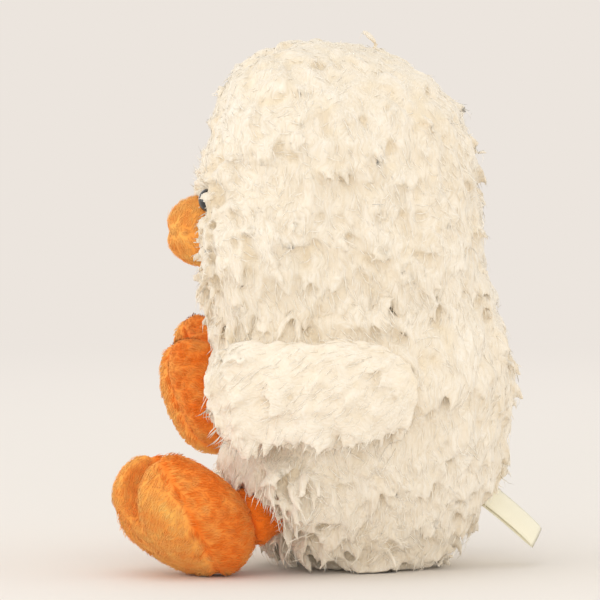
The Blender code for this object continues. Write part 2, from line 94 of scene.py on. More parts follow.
def srgb(red: int, green: int, blue: int) -> Colour:
    """A colour as a shader takes it, from 0 to 255 sRGB values.

    Args:
        red: Red.
        green: Green.
        blue: Blue.

    Returns:
        The scene-linear colour with an alpha of 1.
    """

    def channel(value: int) -> float:
        share = value / 255
        return share / 12.92 if share <= 0.04045 else ((share + 0.055) / 1.055) ** 2.4

    return channel(red), channel(green), channel(blue), 1.0


def smooth_step(value: float) -> float:
    """0 below 0, 1 above 1 and an even curve between."""
    value = min(1.0, max(0.0, value))
    return value * value * (3 - 2 * value)


class Tree:
    """A node tree that is built by name, for materials, groups and geometry alike."""

    def __init__(self, tree: bpy.types.NodeTree) -> None:
        """Wraps a tree.

        Args:
            tree: The tree to build in.
        """
        self.tree = tree

    @staticmethod
    def pick(sockets: bpy.types.bpy_prop_collection, key: str | int) -> bpy.types.NodeSocket:
        """The socket at that number, or the one in use of those with that name."""
        if isinstance(key, int):
            return sockets[key]
        return next(socket for socket in sockets if socket.name == key and socket.enabled)

    def put(self, value: object, socket: bpy.types.NodeSocket) -> None:
        """Links a socket to an input, or sets the input to a value."""
        if isinstance(value, bpy.types.NodeSocket):
            self.tree.links.new(value, socket)
        else:
            socket.default_value = value

    def node(self, kind: str, inputs: dict | None = None, **settings: object) -> bpy.types.Node:
        """Adds a node.

        Args:
            kind: The node's type name.
            inputs: What each input holds, by its name or number: a socket to link from, or a value.
            settings: Properties of the node itself, set before its inputs.

        Returns:
            The new node.
        """
        made = self.tree.nodes.new(kind)
        for name, value in settings.items():
            setattr(made, name, value)
        for key, value in (inputs or {}).items():
            self.put(value, self.pick(made.inputs, key))
        return made

    def made(self, kind: str, output: str | int, inputs: dict | None = None, **settings: object) -> object:
        """Adds a node and gives one of its outputs.

        Args:
            kind: The node's type name.
            output: The output's name or number.
            inputs: What each input holds.
            settings: Properties of the node itself.

        Returns:
            The output socket.
        """
        return self.pick(self.node(kind, inputs, **settings).outputs, output)

    def math(self, operation: str, *values: object) -> bpy.types.NodeSocket:
        """The result of a Math node with that operation on sockets or numbers."""
        return self.made("ShaderNodeMath", "Value", dict(enumerate(values)), operation=operation)

    def vector(self, operation: str, *values: object) -> bpy.types.NodeSocket:
        """The result of a Vector Math node with that operation on sockets or triples."""
        return self.made("ShaderNodeVectorMath", "Vector", dict(enumerate(values)), operation=operation)

    def dot(self, one: object, other: object) -> bpy.types.NodeSocket:
        """The dot product of two vectors."""
        return self.made("ShaderNodeVectorMath", "Value", {0: one, 1: other}, operation="DOT_PRODUCT")

    def scaled(self, vector: object, share: object) -> bpy.types.NodeSocket:
        """A vector times a number."""
        return self.made("ShaderNodeVectorMath", "Vector", {0: vector, "Scale": share}, operation="SCALE")

    def flattened(self, vector: object, normal: object) -> bpy.types.NodeSocket:
        """The part of a vector that lies along a surface with that normal, at unit length."""
        along = self.scaled(normal, self.dot(vector, normal))
        return self.vector("NORMALIZE", self.vector("SUBTRACT", vector, along))

    def mixed(self, share: object, low: object, high: object) -> bpy.types.NodeSocket:
        """A mix of two colours: the first at a share of 0 and the second at 1."""
        made = self.node("ShaderNodeMix", data_type="RGBA", clamp_factor=True)
        for name, value in (("Factor", share), ("A", low), ("B", high)):
            self.put(value, self.pick(made.inputs, name))
        return self.pick(made.outputs, "Result")

    def noise(self, place: object, size: object, output: str = "Fac", detail: float = 2.0) -> object:
        """A noise texture whose features are about that size, in metres."""
        scale = self.math("DIVIDE", 1.0, size)
        return self.made("ShaderNodeTexNoise", output, {"Vector": place, "Scale": scale, "Detail": detail})


def new_group(name: str, kind: str, inputs: dict[str, str], outputs: dict[str, str]) -> bpy.types.NodeTree:
    """A new node group with named sockets.

    Args:
        name: The group's name.
        kind: The kind of tree.
        inputs: The type of each input by its name, without the prefix NodeSocket.
        outputs: The type of each output, in the same way.

    Returns:
        The group.
    """
    group = bpy.data.node_groups.new(name, kind)
    for way, sockets in (("INPUT", inputs), ("OUTPUT", outputs)):
        for label, socket_kind in sockets.items():
            group.interface.new_socket(label, in_out=way, socket_type="NodeSocket" + socket_kind)
    return group


STREAK_WAVE = 0.012
STREAK_GAIN = 2.2
TINT_SPREAD = 40.0
CLOUD_GAIN = 2.4
CLOUD_START = 0.8


def mottle_group() -> bpy.types.NodeTree:
    """The shader group that colours a pile.

    A strand runs from its root's colour to its tip's; the darker root colour is painted shade at the roots,
    and in a coat's crevices. Clouds over the piece, each tuft's own tint and fine streaks draw it towards a
    third colour, and so does the painted shade that a skin stores where the chick shades itself.

    Returns:
        The group, made on the first call.
    """
    name = "pile_mottle"
    if name in bpy.data.node_groups:
        return bpy.data.node_groups[name]
    inputs = {"Root": "Color", "Tip": "Color", "Shade": "Color"}
    inputs |= {"Cloud Size": "Float", "Cloud Share": "Float", "Tint Share": "Float", "Root Share": "Float"}
    inputs |= {"Fibres": "Float", "Fibre Share": "Float", "Flow": "Vector"}
    group = new_group(name, "ShaderNodeTree", inputs, {"Color": "Color", "Fibre": "Float"})
    tree = Tree(group)
    given = tree.node("NodeGroupInput").outputs
    height = tree.made("ShaderNodeAttribute", "Fac", attribute_name="height")
    tint = tree.made("ShaderNodeAttribute", "Fac", attribute_name="tint")
    across = tree.made("ShaderNodeAttribute", "Fac", attribute_name="across")
    # Painted shade: the skin's stored shade draws the colour towards the shade colour where the chick shades
    # itself.
    deep = tree.made("ShaderNodeAttribute", "Fac", attribute_name="deep")
    place = tree.made("ShaderNodeTexCoord", "Object")
    along = {"X": tree.math("MULTIPLY", across, given["Fibres"])}
    along |= {"Y": height, "Z": tree.math("MULTIPLY", tint, TINT_SPREAD)}
    strand = tree.noise(tree.made("ShaderNodeCombineXYZ", "Vector", along), 1.0)
    wave = tree.scaled(tree.noise(place, STREAK_WAVE, "Color", 1.0), STREAK_WAVE)
    waved = tree.vector("ADD", place, wave)
    streak = tree.noise(tree.vector("MULTIPLY", waved, given["Flow"]), 1.0)
    fibre = tree.math("ADD", strand, tree.math("MULTIPLY", tree.math("ADD", streak, -0.5), STREAK_GAIN))
    clouds = tree.math("MULTIPLY", tree.noise(place, given["Cloud Size"]), CLOUD_GAIN)
    grown = tree.mixed(tree.math("POWER", height, given["Root Share"]), given["Root"], given["Tip"])
    cloudy = tree.math("MULTIPLY", tree.math("ADD", clouds, -CLOUD_START), given["Cloud Share"])
    tinted = tree.math("MULTIPLY", tint, given["Tint Share"])
    streaked = tree.math("MULTIPLY", fibre, given["Fibre Share"])
    shaded = tree.math("ADD", tree.math("ADD", cloudy, deep), tree.math("ADD", tinted, streaked))
    tree.node("NodeGroupOutput", {"Color": tree.mixed(shaded, grown, given["Shade"]), "Fibre": fibre})
    return group


@dataclass(frozen=True)
class PileFinish:
    """The finish of dyed polyester pile, on its strands and on the skin that they grow from. Its darker root
    colour is painted shade at the roots and in a coat's crevices.
    """

    name: str
    slot: Slot
    root: Colour
    tip: Colour
    shade: Colour
    cloud_size: float = 0.03
    cloud_share: float = 0.5
    tint_share: float = 0.25
    root_share: float = 0.6
    fibres: float = 5.0
    fibre_share: float = 0.3
    fibre_relief: float = 0.00012
    flow: tuple[float, float, float] = (0.0, 0.0, 0.0)
    roughness: float = 0.85
    sheen: float = 0.25
    sheen_tint: Colour = (1.0, 1.0, 1.0, 1.0)

    def material(self) -> bpy.types.Material:
        """The material, made on the first call.

        Returns:
            The material.
        """
        if self.name in bpy.data.materials:
            return bpy.data.materials[self.name]
        made = bpy.data.materials.new(self.name)
        made.use_nodes = True
        shader = made.node_tree.nodes["Principled BSDF"]
        values = {
            "Root": self.root,
            "Tip": self.tip,
            "Shade": self.shade,
            "Cloud Size": self.cloud_size,
            "Cloud Share": self.cloud_share,
            "Tint Share": self.tint_share,
            "Root Share": self.root_share,
            "Fibres": self.fibres,
            "Fibre Share": self.fibre_share,
            "Flow": self.flow,
        }
        tree = Tree(made.node_tree)
        outputs = tree.node("ShaderNodeGroup", values, node_tree=mottle_group()).outputs
        tree.put(outputs["Color"], shader.inputs["Base Color"])
        relief = {"Strength": 0.6, "Distance": self.fibre_relief, "Height": outputs["Fibre"]}
        tree.put(tree.made("ShaderNodeBump", "Normal", relief), shader.inputs["Normal"])
        shader.inputs["Roughness"].default_value = self.roughness
        shader.inputs["Specular IOR Level"].default_value = 0.15
        shader.inputs["Sheen Weight"].default_value = self.sheen
        shader.inputs["Sheen Roughness"].default_value = 0.5
        shader.inputs["Sheen Tint"].default_value = self.sheen_tint
        return made


CREAM = PileFinish(
    "cream_long_pile",
    Slot.CREAM,
    # Root: painted shade at the strands' roots and in the coat's crevices.
    root=srgb(242, 226, 197),
    tip=srgb(248, 240, 226),
    shade=srgb(233, 218, 193),
    fibre_share=0.75,
    fibre_relief=0.0008,
    flow=(750.0, 750.0, 110.0),
    cloud_share=0.3,
    sheen=0.4,
)
# Painted light: a lighter copy of the cream pile for the loose strands, to make up for the light that they
# lose to their own shade.
LIT_CREAM_FUZZ = PileFinish(
    "cream_loose_fibre",
    Slot.CREAM,
    # Root: painted shade at the strands' roots.
    root=srgb(252, 241, 222),
    tip=srgb(255, 250, 238),
    shade=srgb(252, 242, 224),
    fibre_relief=0.0,
    sheen=0.6,
)
LIT_WING_FUZZ = replace(LIT_CREAM_FUZZ, name="wing_loose_fibre", slot=Slot.WING)
WING_PALE = PileFinish(
    "pale_wing_pile",
    Slot.WING,
    # Root: painted shade at the strands' roots and in the coat's crevices.
    root=srgb(246, 231, 205),
    tip=srgb(250, 242, 228),
    shade=srgb(237, 222, 197),
    fibre_share=0.6,
    fibre_relief=0.0006,
    flow=(750.0, 230.0, 750.0),
    cloud_share=0.3,
    sheen=0.4,
)
ORANGE = PileFinish(
    "orange_short_pile",
    Slot.ORANGE,
    # Root: painted shade at the strands' roots.
    root=srgb(255, 194, 100),
    tip=srgb(255, 216, 130),
    # Shade: deeper orange for streaks, clouds and tufts' tints, and for the painted shade on the feet and
    # legs.
    shade=srgb(245, 118, 26),
    cloud_size=0.010,
    cloud_share=0.40,
    tint_share=0.30,
    fibres=3.0,
    fibre_share=0.4,
    roughness=0.8,
    sheen=0.7,
    sheen_tint=srgb(255, 204, 130),
)


def moulded(name: str, colour: Colour, worn: Colour, roughness: float, coat: float) -> bpy.types.Material:
    """The material of a small moulded plastic piece, with a fine uneven gloss.

    Args:
        name: The material's name.
        colour: The plastic's colour.
        worn: The colour of its faint clouds.
        roughness: Its middle roughness.
        coat: The weight of its clear coat.

    Returns:
        The material.
    """
    made = bpy.data.materials.new(name)
    made.use_nodes = True
    tree = Tree(made.node_tree)
    shader = made.node_tree.nodes["Principled BSDF"]
    place = tree.made("ShaderNodeTexCoord", "Object")
    clouds = tree.noise(place, 0.002)
    tree.put(tree.mixed(clouds, colour, worn), shader.inputs["Base Color"])
    uneven = tree.math("ADD", tree.math("MULTIPLY", clouds, 0.12), roughness - 0.06)
    tree.put(uneven, shader.inputs["Roughness"])
    shader.inputs["Coat Weight"].default_value = coat
    return made


def ribbon_satin(name: str) -> bpy.types.Material:
    """The material of a woven satin ribbon: fine threads across and along it, from the ribbon's own UV map.

    Args:
        name: The material's name.

    Returns:
        The material.
    """
    made = bpy.data.materials.new(name)
    made.use_nodes = True
    tree = Tree(made.node_tree)
    shader = made.node_tree.nodes["Principled BSDF"]
    where = tree.made("ShaderNodeTexCoord", "UV")
    waves = []
    for direction, scale in (("X", 2600.0), ("Y", 3400.0)):
        waves.append(
            tree.made(
                "ShaderNodeTexWave",
                "Fac",
                {"Vector": where, "Scale": scale, "Distortion": 0.4},
                bands_direction=direction,
            )
        )
    weave = tree.math("MULTIPLY", *waves)
    clouds = tree.noise(where, 0.006)
    threads = tree.mixed(weave, srgb(243, 236, 208), srgb(253, 248, 230))
    faded = tree.mixed(tree.math("MULTIPLY", clouds, 0.35), threads, srgb(240, 232, 204))
    tree.put(faded, shader.inputs["Base Color"])
    bump = tree.made("ShaderNodeBump", "Normal", {"Strength": 0.25, "Distance": 0.0001, "Height": weave})
    tree.put(bump, shader.inputs["Normal"])
    shader.inputs["Roughness"].default_value = 0.5
    shader.inputs["Sheen Weight"].default_value = 0.2
    return made


def link(obj: bpy.types.Object) -> bpy.types.Object:
    """Puts an object in the scene."""
    bpy.context.scene.collection.objects.link(obj)
    return obj


def evaluated_mesh(obj: bpy.types.Object, name: str) -> bpy.types.Mesh:
    """The mesh that an object's modifiers make of it.

    Args:
        obj: The object.
        name: The new mesh's name.

    Returns:
        The mesh.
    """
    graph = bpy.context.evaluated_depsgraph_get()
    mesh = bpy.data.meshes.new_from_object(obj.evaluated_get(graph), depsgraph=graph)
    mesh.name = name
    return mesh


def applied(obj: bpy.types.Object) -> bpy.types.Object:
    """Applies an object's modifiers to its mesh."""
    mesh = evaluated_mesh(obj, obj.name)
    obj.modifiers.clear()
    obj.data = mesh
    return obj


def remeshed(obj: bpy.types.Object, voxel: float, smoothing: int) -> bpy.types.Object:
    """Fuses an object's mesh into one closed skin and smooths it.

    Args:
        obj: The object.
        voxel: The size of the remesh's voxels.
        smoothing: How many times the skin is smoothed.

    Returns:
        The object.
    """
    remesh = obj.modifiers.new("Fuse", "REMESH")
    remesh.mode = "VOXEL"
    remesh.voxel_size = voxel
    soften = obj.modifiers.new("Soften", "SMOOTH")
    soften.factor = 0.5
    soften.iterations = smoothing
    return applied(obj)


def store(mesh: bpy.types.Mesh, name: str, values: object, size: int = 1) -> None:
    """Stores a new attribute on a mesh's points.

    Args:
        mesh: The mesh.
        name: The attribute's name.
        values: A value for each point.
        size: How many numbers each value has: 1 or 3.
    """
    made = mesh.attributes.new(name, "FLOAT_VECTOR" if size == 3 else "FLOAT", "POINT")
    made.data.foreach_set("vector" if size == 3 else "value", np.array(values, np.float32).ravel())


def fetched(mesh: bpy.types.Mesh, name: str, size: int = 1) -> np.ndarray:
    """An attribute of a mesh's points, as rows of that many numbers."""
    values = np.empty(size * len(mesh.vertices), np.float32)
    mesh.attributes[name].data.foreach_get("vector" if size == 3 else "value", values)
    return values.reshape(-1, size)


def triangles(obj: bpy.types.Object) -> int:
    """How many triangles a piece's mesh makes."""
    return sum(len(polygon.vertices) - 2 for polygon in obj.data.polygons)


def finished(obj: bpy.types.Object) -> bpy.types.Object:
    """Rides a finished piece on the chick's one body and reports it.

    Args:
        obj: The piece.

    Returns:
        The piece.
    """
    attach(obj, "root")
    LOG.info("%s: %d triangles", obj.name, triangles(obj))
    return obj


@dataclass(frozen=True)
class Margin:
    """How far from a solid something starts, less than 0 inside it, and over what length it fades in."""

    gap: float
    fade: float


class Solids:
    """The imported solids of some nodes, to measure how far a point is from them."""

    reach = 0.008
    step = 0.00002
    line = Vector((0.36, 0.48, 0.80))

    def __init__(self, *nodes: str) -> None:
        """Reads the solids.

        Args:
            nodes: The nodes' names.
        """
        self.trees = []
        for node in nodes:
            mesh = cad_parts[node].data
            points = [vert.co for vert in mesh.vertices]
            self.trees.append(BVHTree.FromPolygons(points, [tuple(face.vertices) for face in mesh.polygons]))

    def distance(self, place: Vector) -> float:
        """How far a point is from the nearest surface, less than 0 inside a solid."""
        nearest = math.inf
        for tree in self.trees:
            distance = tree.find_nearest(place)[3]
            near = distance < self.reach
            nearest = min(nearest, -distance if near and self.inside(tree, place) else distance)
        return nearest

    def inside(self, tree: BVHTree, place: Vector) -> bool:
        """Whether a point is inside a solid: a line from it leaves the solid once more than it enters."""
        hits = 0
        point = tree.ray_cast(place, self.line)[0]
        while point is not None:
            hits += 1
            point = tree.ray_cast(point + self.line * self.step, self.line)[0]
        return hits % 2 == 1

    def clear(self, place: Vector, margin: Margin) -> float:
        """0 nearer to a solid than the margin's gap and 1 past its fade."""
        return smooth_step((self.distance(place) - margin.gap) / margin.fade)


@dataclass(frozen=True)
class Pile:
    """A kind of pile. Lengths are in metres and the rest are shares."""

    spacing: float = 0.0036
    tuft_spacing: float = 0.0065
    length: float = 0.0070
    width: float = 0.00030
    thickness: float = 0.00014
    lean: float = 0.88
    gather: float = 0.30
    curl: float = 0.50
    droop: float = 0.0
    arch: float = 0.16
    tuck: float = 0.12
    swirl: float = 0.9
    swirl_size: float = 0.026
    stray: float = 0.30
    floor: float = 0.0004
    softness: float = 0.25
    seed: int = 3
    sides: int = 3
    rings: tuple[tuple[float, float], ...] = ((0.0, 0.9), (0.52, 1.0))

    def lock(self, name: str) -> bpy.types.Object:
        """One straight lock, one unit high and one in radius, closed at both ends.

        Its points hold their height and how far across it they are.

        Args:
            name: The object's name.

        Returns:
            The lock.
        """
        bm = bmesh.new()
        layer = bm.verts.layers.float.new("height")
        across = bm.verts.layers.float.new("across")
        rows = []
        for height, radius in self.rings:
            turns = [2 * math.pi * side / self.sides + math.pi / 2 for side in range(self.sides)]
            row = [bm.verts.new((radius * math.cos(turn), radius * math.sin(turn), height)) for turn in turns]
            for vert in row:
                vert[layer] = height
                vert[across] = vert.co.x
            rows.append(row)
        tip = bm.verts.new((0, 0, 1))
        tip[layer] = 1.0
        bm.faces.new(list(reversed(rows[0])))
        for side in range(self.sides):
            after = (side + 1) % self.sides
            for low, high in zip(rows, rows[1:]):
                bm.faces.new((low[side], low[after], high[after], high[side]))
            bm.faces.new((rows[-1][side], rows[-1][after], tip))
        mesh = bpy.data.meshes.new(name)
        bm.to_mesh(mesh)
        bm.free()
        mesh.shade_smooth()
        return link(bpy.data.objects.new(name, mesh))

    def grow(self, skin: bpy.types.Object, name: str, finish: PileFinish) -> bpy.types.Object:
        """Grows the pile on a skin, as a piece of its own.

        Args:
            skin: The skin, with its steering attributes.
            name: The new piece's name.
            finish: The pile's finish.

        Returns:
            The pile, as one plain mesh.
        """
        return finished(self.raised(skin, name, finish))

    def raised(self, skin: bpy.types.Object, name: str, finish: PileFinish) -> bpy.types.Object:
        """Makes the pile's mesh.

        Args:
            skin: The skin, with its steering attributes.
            name: The new piece's name.
            finish: The pile's finish.

        Returns:
            The pile, as one plain mesh.
        """
        lock = self.lock(name + "_lock")
        carrier = link(bpy.data.objects.new(name + "_carrier", skin.data.copy()))
        modifier = carrier.modifiers.new("Pile", "NODES")
        modifier.node_group = pile_tree()
        values = {label: getattr(self, size) for label, size in PILE_SIZES.items()}
        values |= {"Seed": self.seed, "Lock": lock, "Material": finish.material()}
        for socket in modifier.node_group.interface.items_tree:
            if socket.item_type == "SOCKET" and socket.name in values:
                modifier[socket.identifier] = values[socket.name]
        piece = link(bpy.data.objects.new(name, evaluated_mesh(carrier, name)))
        self.soften(piece.data)
        for helper in (carrier, lock):
            bpy.data.objects.remove(helper)
        return piece

    def soften(self, mesh: bpy.types.Mesh) -> None:
        """Draws the shading of the locks towards that of the skin, as fine fibre spreads the light."""
        mesh.shade_smooth()
        count = len(mesh.vertices)
        own = np.empty(3 * count, np.float32)
        mesh.vertex_normals.foreach_get("vector", own)
        skin = np.empty(3 * count, np.float32)
        mesh.attributes["upright"].data.foreach_get("vector", skin)
        own, skin = own.reshape(-1, 3), skin.reshape(-1, 3)
        facing = np.clip((own * skin).sum(axis=1, keepdims=True) * 1.5 + 0.9, 0.0, 1.0) * self.softness
        mixed = own * (1 - facing) + skin * facing
        mixed /= np.maximum(np.linalg.norm(mixed, axis=1, keepdims=True), 1e-6)
        mesh.attributes.remove(mesh.attributes["upright"])
        mesh.normals_split_custom_set_from_vertices(mixed.tolist())


PILE_SIZES = {
    "Spacing": "spacing",
    "Tuft Spacing": "tuft_spacing",
    "Length": "length",
    "Width": "width",
    "Thickness": "thickness",
    "Lean": "lean",
    "Gather": "gather",
    "Curl": "curl",
    "Droop": "droop",
    "Arch": "arch",
    "Tuck": "tuck",
    "Swirl": "swirl",
    "Swirl Size": "swirl_size",
    "Stray": "stray",
    "Floor": "floor",
}


class PileNodes(Tree):
    """The geometry tree that grows a pile on a skin.

    Strands are spread over the skin. Each belongs to the nearest tuft, which sets its comb, its length and
    its tint, and its tip is drawn towards the tuft's root. The skin's own attributes steer it: comb, the way
    that the pile lies, growth, how densely it grows, reach, how long it is, and lie, how flat it lies.
    """

    def __init__(self, group: bpy.types.NodeTree) -> None:
        """Builds the tree.

        Args:
            group: An empty tree with the pile's sockets.
        """
        super().__init__(group)
        self.given = self.node("NodeGroupInput").outputs
        self.place = self.made("GeometryNodeInputPosition", "Position")
        tufts = self.tufts()
        points, axis, length = self.strands(tufts)
        self.finish(self.bent(self.placed(points, axis, length)))

    def attribute(self, name: str, kind: str = "FLOAT") -> bpy.types.NodeSocket:
        """A named attribute of the geometry."""
        return self.made("GeometryNodeInputNamedAttribute", "Attribute", {"Name": name}, data_type=kind)

    def stored(self, geometry: object, name: str, value: object, kind: str = "FLOAT") -> object:
        """Stores a value on each point."""
        inputs = {"Geometry": geometry, "Name": name, "Value": value}
        settings = {"data_type": kind, "domain": "POINT"}
        return self.made("GeometryNodeStoreNamedAttribute", "Geometry", inputs, **settings)

    def seed(self, offset: int) -> bpy.types.NodeSocket:
        """A seed of its own for one random draw."""
        return self.math("ADD", self.given["Seed"], offset)

    def chance(self, low: float, high: float, offset: int) -> bpy.types.NodeSocket:
        """A random number for each point."""
        inputs = {"Min": low, "Max": high, "Seed": self.seed(offset)}
        return self.made("FunctionNodeRandomValue", "Value", inputs, data_type="FLOAT")

    def spread(self, spacing: object, offset: int) -> bpy.types.Node:
        """Points that are at least a spacing apart, thinned by the skin's growth attribute."""
        inputs = {
            "Mesh": self.given["Geometry"],
            "Distance Min": spacing,
            "Density Max": self.math("DIVIDE", 2.0, self.math("MULTIPLY", spacing, spacing)),
            "Density Factor": self.attribute("growth"),
            "Seed": self.seed(offset),
        }
        return self.node("GeometryNodeDistributePointsOnFaces", inputs, distribute_method="POISSON")

    def tufts(self) -> bpy.types.NodeSocket:
        """The tufts' roots, with which way each is combed, how long it is, its tint and its curl."""
        clouds = self.noise(self.place, self.given["Swirl Size"], "Color", 1.0)
        swirl = self.vector("SUBTRACT", clouds, (0.5, 0.5, 0.5))
        inputs = {"Min": (-0.5, -0.5, -0.5), "Max": (0.5, 0.5, 0.5), "Seed": self.seed(7)}
        stray = self.made("FunctionNodeRandomValue", "Value", inputs, data_type="FLOAT_VECTOR")
        swirled = self.scaled(swirl, self.math("MULTIPLY", self.given["Swirl"], 4.0))
        strayed = self.scaled(stray, self.given["Stray"])
        loose = self.vector("ADD", swirled, strayed)
        comb = self.vector("ADD", self.attribute("comb", "FLOAT_VECTOR"), loose)
        points = self.pick(self.spread(self.given["Tuft Spacing"], 0).outputs, "Points")
        points = self.stored(points, "comb", comb, "FLOAT_VECTOR")
        points = self.stored(points, "size", self.chance(0.72, 1.18, 1))
        points = self.stored(points, "tint", self.chance(0.0, 1.0, 2))
        return self.stored(points, "turn", self.chance(-1.0, 1.0, 3))

    def strands(self, tufts: bpy.types.NodeSocket) -> tuple:
        """The strands' roots, with how each bends, and the axis and length of each."""
        inputs = {"Geometry": tufts, "Sample Position": self.place}
        nearest = self.made("GeometryNodeSampleNearest", "Index", inputs, domain="POINT")

        def of_tuft(value: object, kind: str = "FLOAT") -> bpy.types.NodeSocket:
            sample = {"Geometry": tufts, "Value": value, "Index": nearest}
            return self.made("GeometryNodeSampleIndex", "Value", sample, data_type=kind, domain="POINT")

        spread = self.spread(self.given["Spacing"], 10)
        points = self.pick(spread.outputs, "Points")
        points = self.stored(points, "upright", self.attribute("rise", "FLOAT_VECTOR"), "FLOAT_VECTOR")
        normal = self.attribute("upright", "FLOAT_VECTOR")
        comb = self.flattened(of_tuft(self.attribute("comb", "FLOAT_VECTOR"), "FLOAT_VECTOR"), normal)
        length = self.math("MULTIPLY", self.given["Length"], of_tuft(self.attribute("size")))
        uneven = self.math("MULTIPLY", self.attribute("reach"), self.chance(0.8, 1.12, 4))
        length = self.math("MULTIPLY", length, uneven)
        lie = self.math("MULTIPLY", self.attribute("lie"), self.chance(0.85, 1.1, 5))
        lean = self.math("MULTIPLY", self.given["Lean"], lie)
        risen = self.scaled(normal, self.math("SUBTRACT", 1.0, lean))
        axis = self.vector("NORMALIZE", self.vector("ADD", risen, self.scaled(comb, lean)))
        toward = self.vector("SUBTRACT", of_tuft(self.place, "FLOAT_VECTOR"), self.place)
        turn = self.math("MULTIPLY", of_tuft(self.attribute("turn")), self.given["Curl"])
        curl = self.scaled(self.vector("CROSS_PRODUCT", normal, comb), self.math("MULTIPLY", length, turn))
        hang = self.math("MULTIPLY", length, self.math("MULTIPLY", self.given["Droop"], -1.0))
        tip_move = self.vector("ADD", self.scaled(toward, self.given["Gather"]), curl)
        tip_move = self.vector("ADD", tip_move, self.scaled((0.0, 0.0, 1.0), hang))
        tucked = self.scaled(normal, self.math("MULTIPLY", length, self.given["Tuck"]))
        tip_move = self.vector("SUBTRACT", tip_move, tucked)
        arch = self.scaled(normal, self.math("MULTIPLY", length, self.given["Arch"]))
        points = self.stored(points, "tint", of_tuft(self.attribute("tint")))
        points = self.stored(points, "tip_move", tip_move, "FLOAT_VECTOR")
        points = self.stored(points, "arch", arch, "FLOAT_VECTOR")
        points = self.stored(points, "axis", axis, "FLOAT_VECTOR")
        points = self.stored(points, "size", length)
        return points, self.attribute("axis", "FLOAT_VECTOR"), self.attribute("size")

    def placed(self, points: object, axis: object, length: object) -> bpy.types.NodeSocket:
        """A real lock on each point, with its flat side to the skin."""
        aim = self.made("FunctionNodeAlignRotationToVector", "Rotation", {"Vector": axis}, axis="Z")
        inputs = {"Rotation": aim, "Vector": self.attribute("upright", "FLOAT_VECTOR")}
        flat = self.made("FunctionNodeAlignRotationToVector", "Rotation", inputs, axis="Y", pivot_axis="Z")
        inputs = {"X": self.given["Width"], "Y": self.given["Thickness"], "Z": length}
        size = self.made("ShaderNodeCombineXYZ", "Vector", inputs)
        lock = self.made("GeometryNodeObjectInfo", "Geometry", {"Object": self.given["Lock"]})
        inputs = {"Points": points, "Instance": lock, "Rotation": flat, "Scale": size}
        instances = self.made("GeometryNodeInstanceOnPoints", "Instances", inputs)
        return self.made("GeometryNodeRealizeInstances", "Geometry", {"Geometry": instances})

    def bent(self, locks: object) -> bpy.types.NodeSocket:
        """Bends each lock by its height, and keeps it above the floor."""
        height = self.attribute("height")
        squared = self.math("MULTIPLY", height, height)
        pulled = self.scaled(self.attribute("tip_move", "FLOAT_VECTOR"), squared)
        arched = self.scaled(self.attribute("arch", "FLOAT_VECTOR"), self.math("SUBTRACT", height, squared))
        inputs = {"Geometry": locks, "Offset": self.vector("ADD", pulled, arched)}
        moved = self.made("GeometryNodeSetPosition", "Geometry", inputs)
        apart = self.node("ShaderNodeSeparateXYZ", {"Vector": self.place}).outputs
        above = self.math("MAXIMUM", apart["Z"], self.given["Floor"])
        lifted = self.made("ShaderNodeCombineXYZ", "Vector", {"X": apart["X"], "Y": apart["Y"], "Z": above})
        return self.made("GeometryNodeSetPosition", "Geometry", {"Geometry": moved, "Position": lifted})

    def finish(self, locks: object) -> None:
        """Drops what only steered the pile, and dresses it."""
        for name in ("tip_move", "arch", "axis", "comb", "rise", "growth", "reach", "lie", "size"):
            locks = self.made("GeometryNodeRemoveAttribute", "Geometry", {"Geometry": locks, "Name": name})
        inputs = {"Geometry": locks, "Material": self.given["Material"]}
        self.node("NodeGroupOutput", {"Geometry": self.made("GeometryNodeSetMaterial", "Geometry", inputs)})


def pile_tree() -> bpy.types.NodeTree:
    """The geometry tree that grows a pile, made on the first call.

    Returns:
        The tree.
    """
    name = "grow_pile"
    if name not in bpy.data.node_groups:
        inputs = {"Geometry": "Geometry"} | {label: "Float" for label in PILE_SIZES}
        inputs |= {"Seed": "Int", "Lock": "Object", "Material": "Material"}
        PileNodes(new_group(name, "GeometryNodeTree", inputs, {"Geometry": "Geometry"}))
    return bpy.data.node_groups[name]


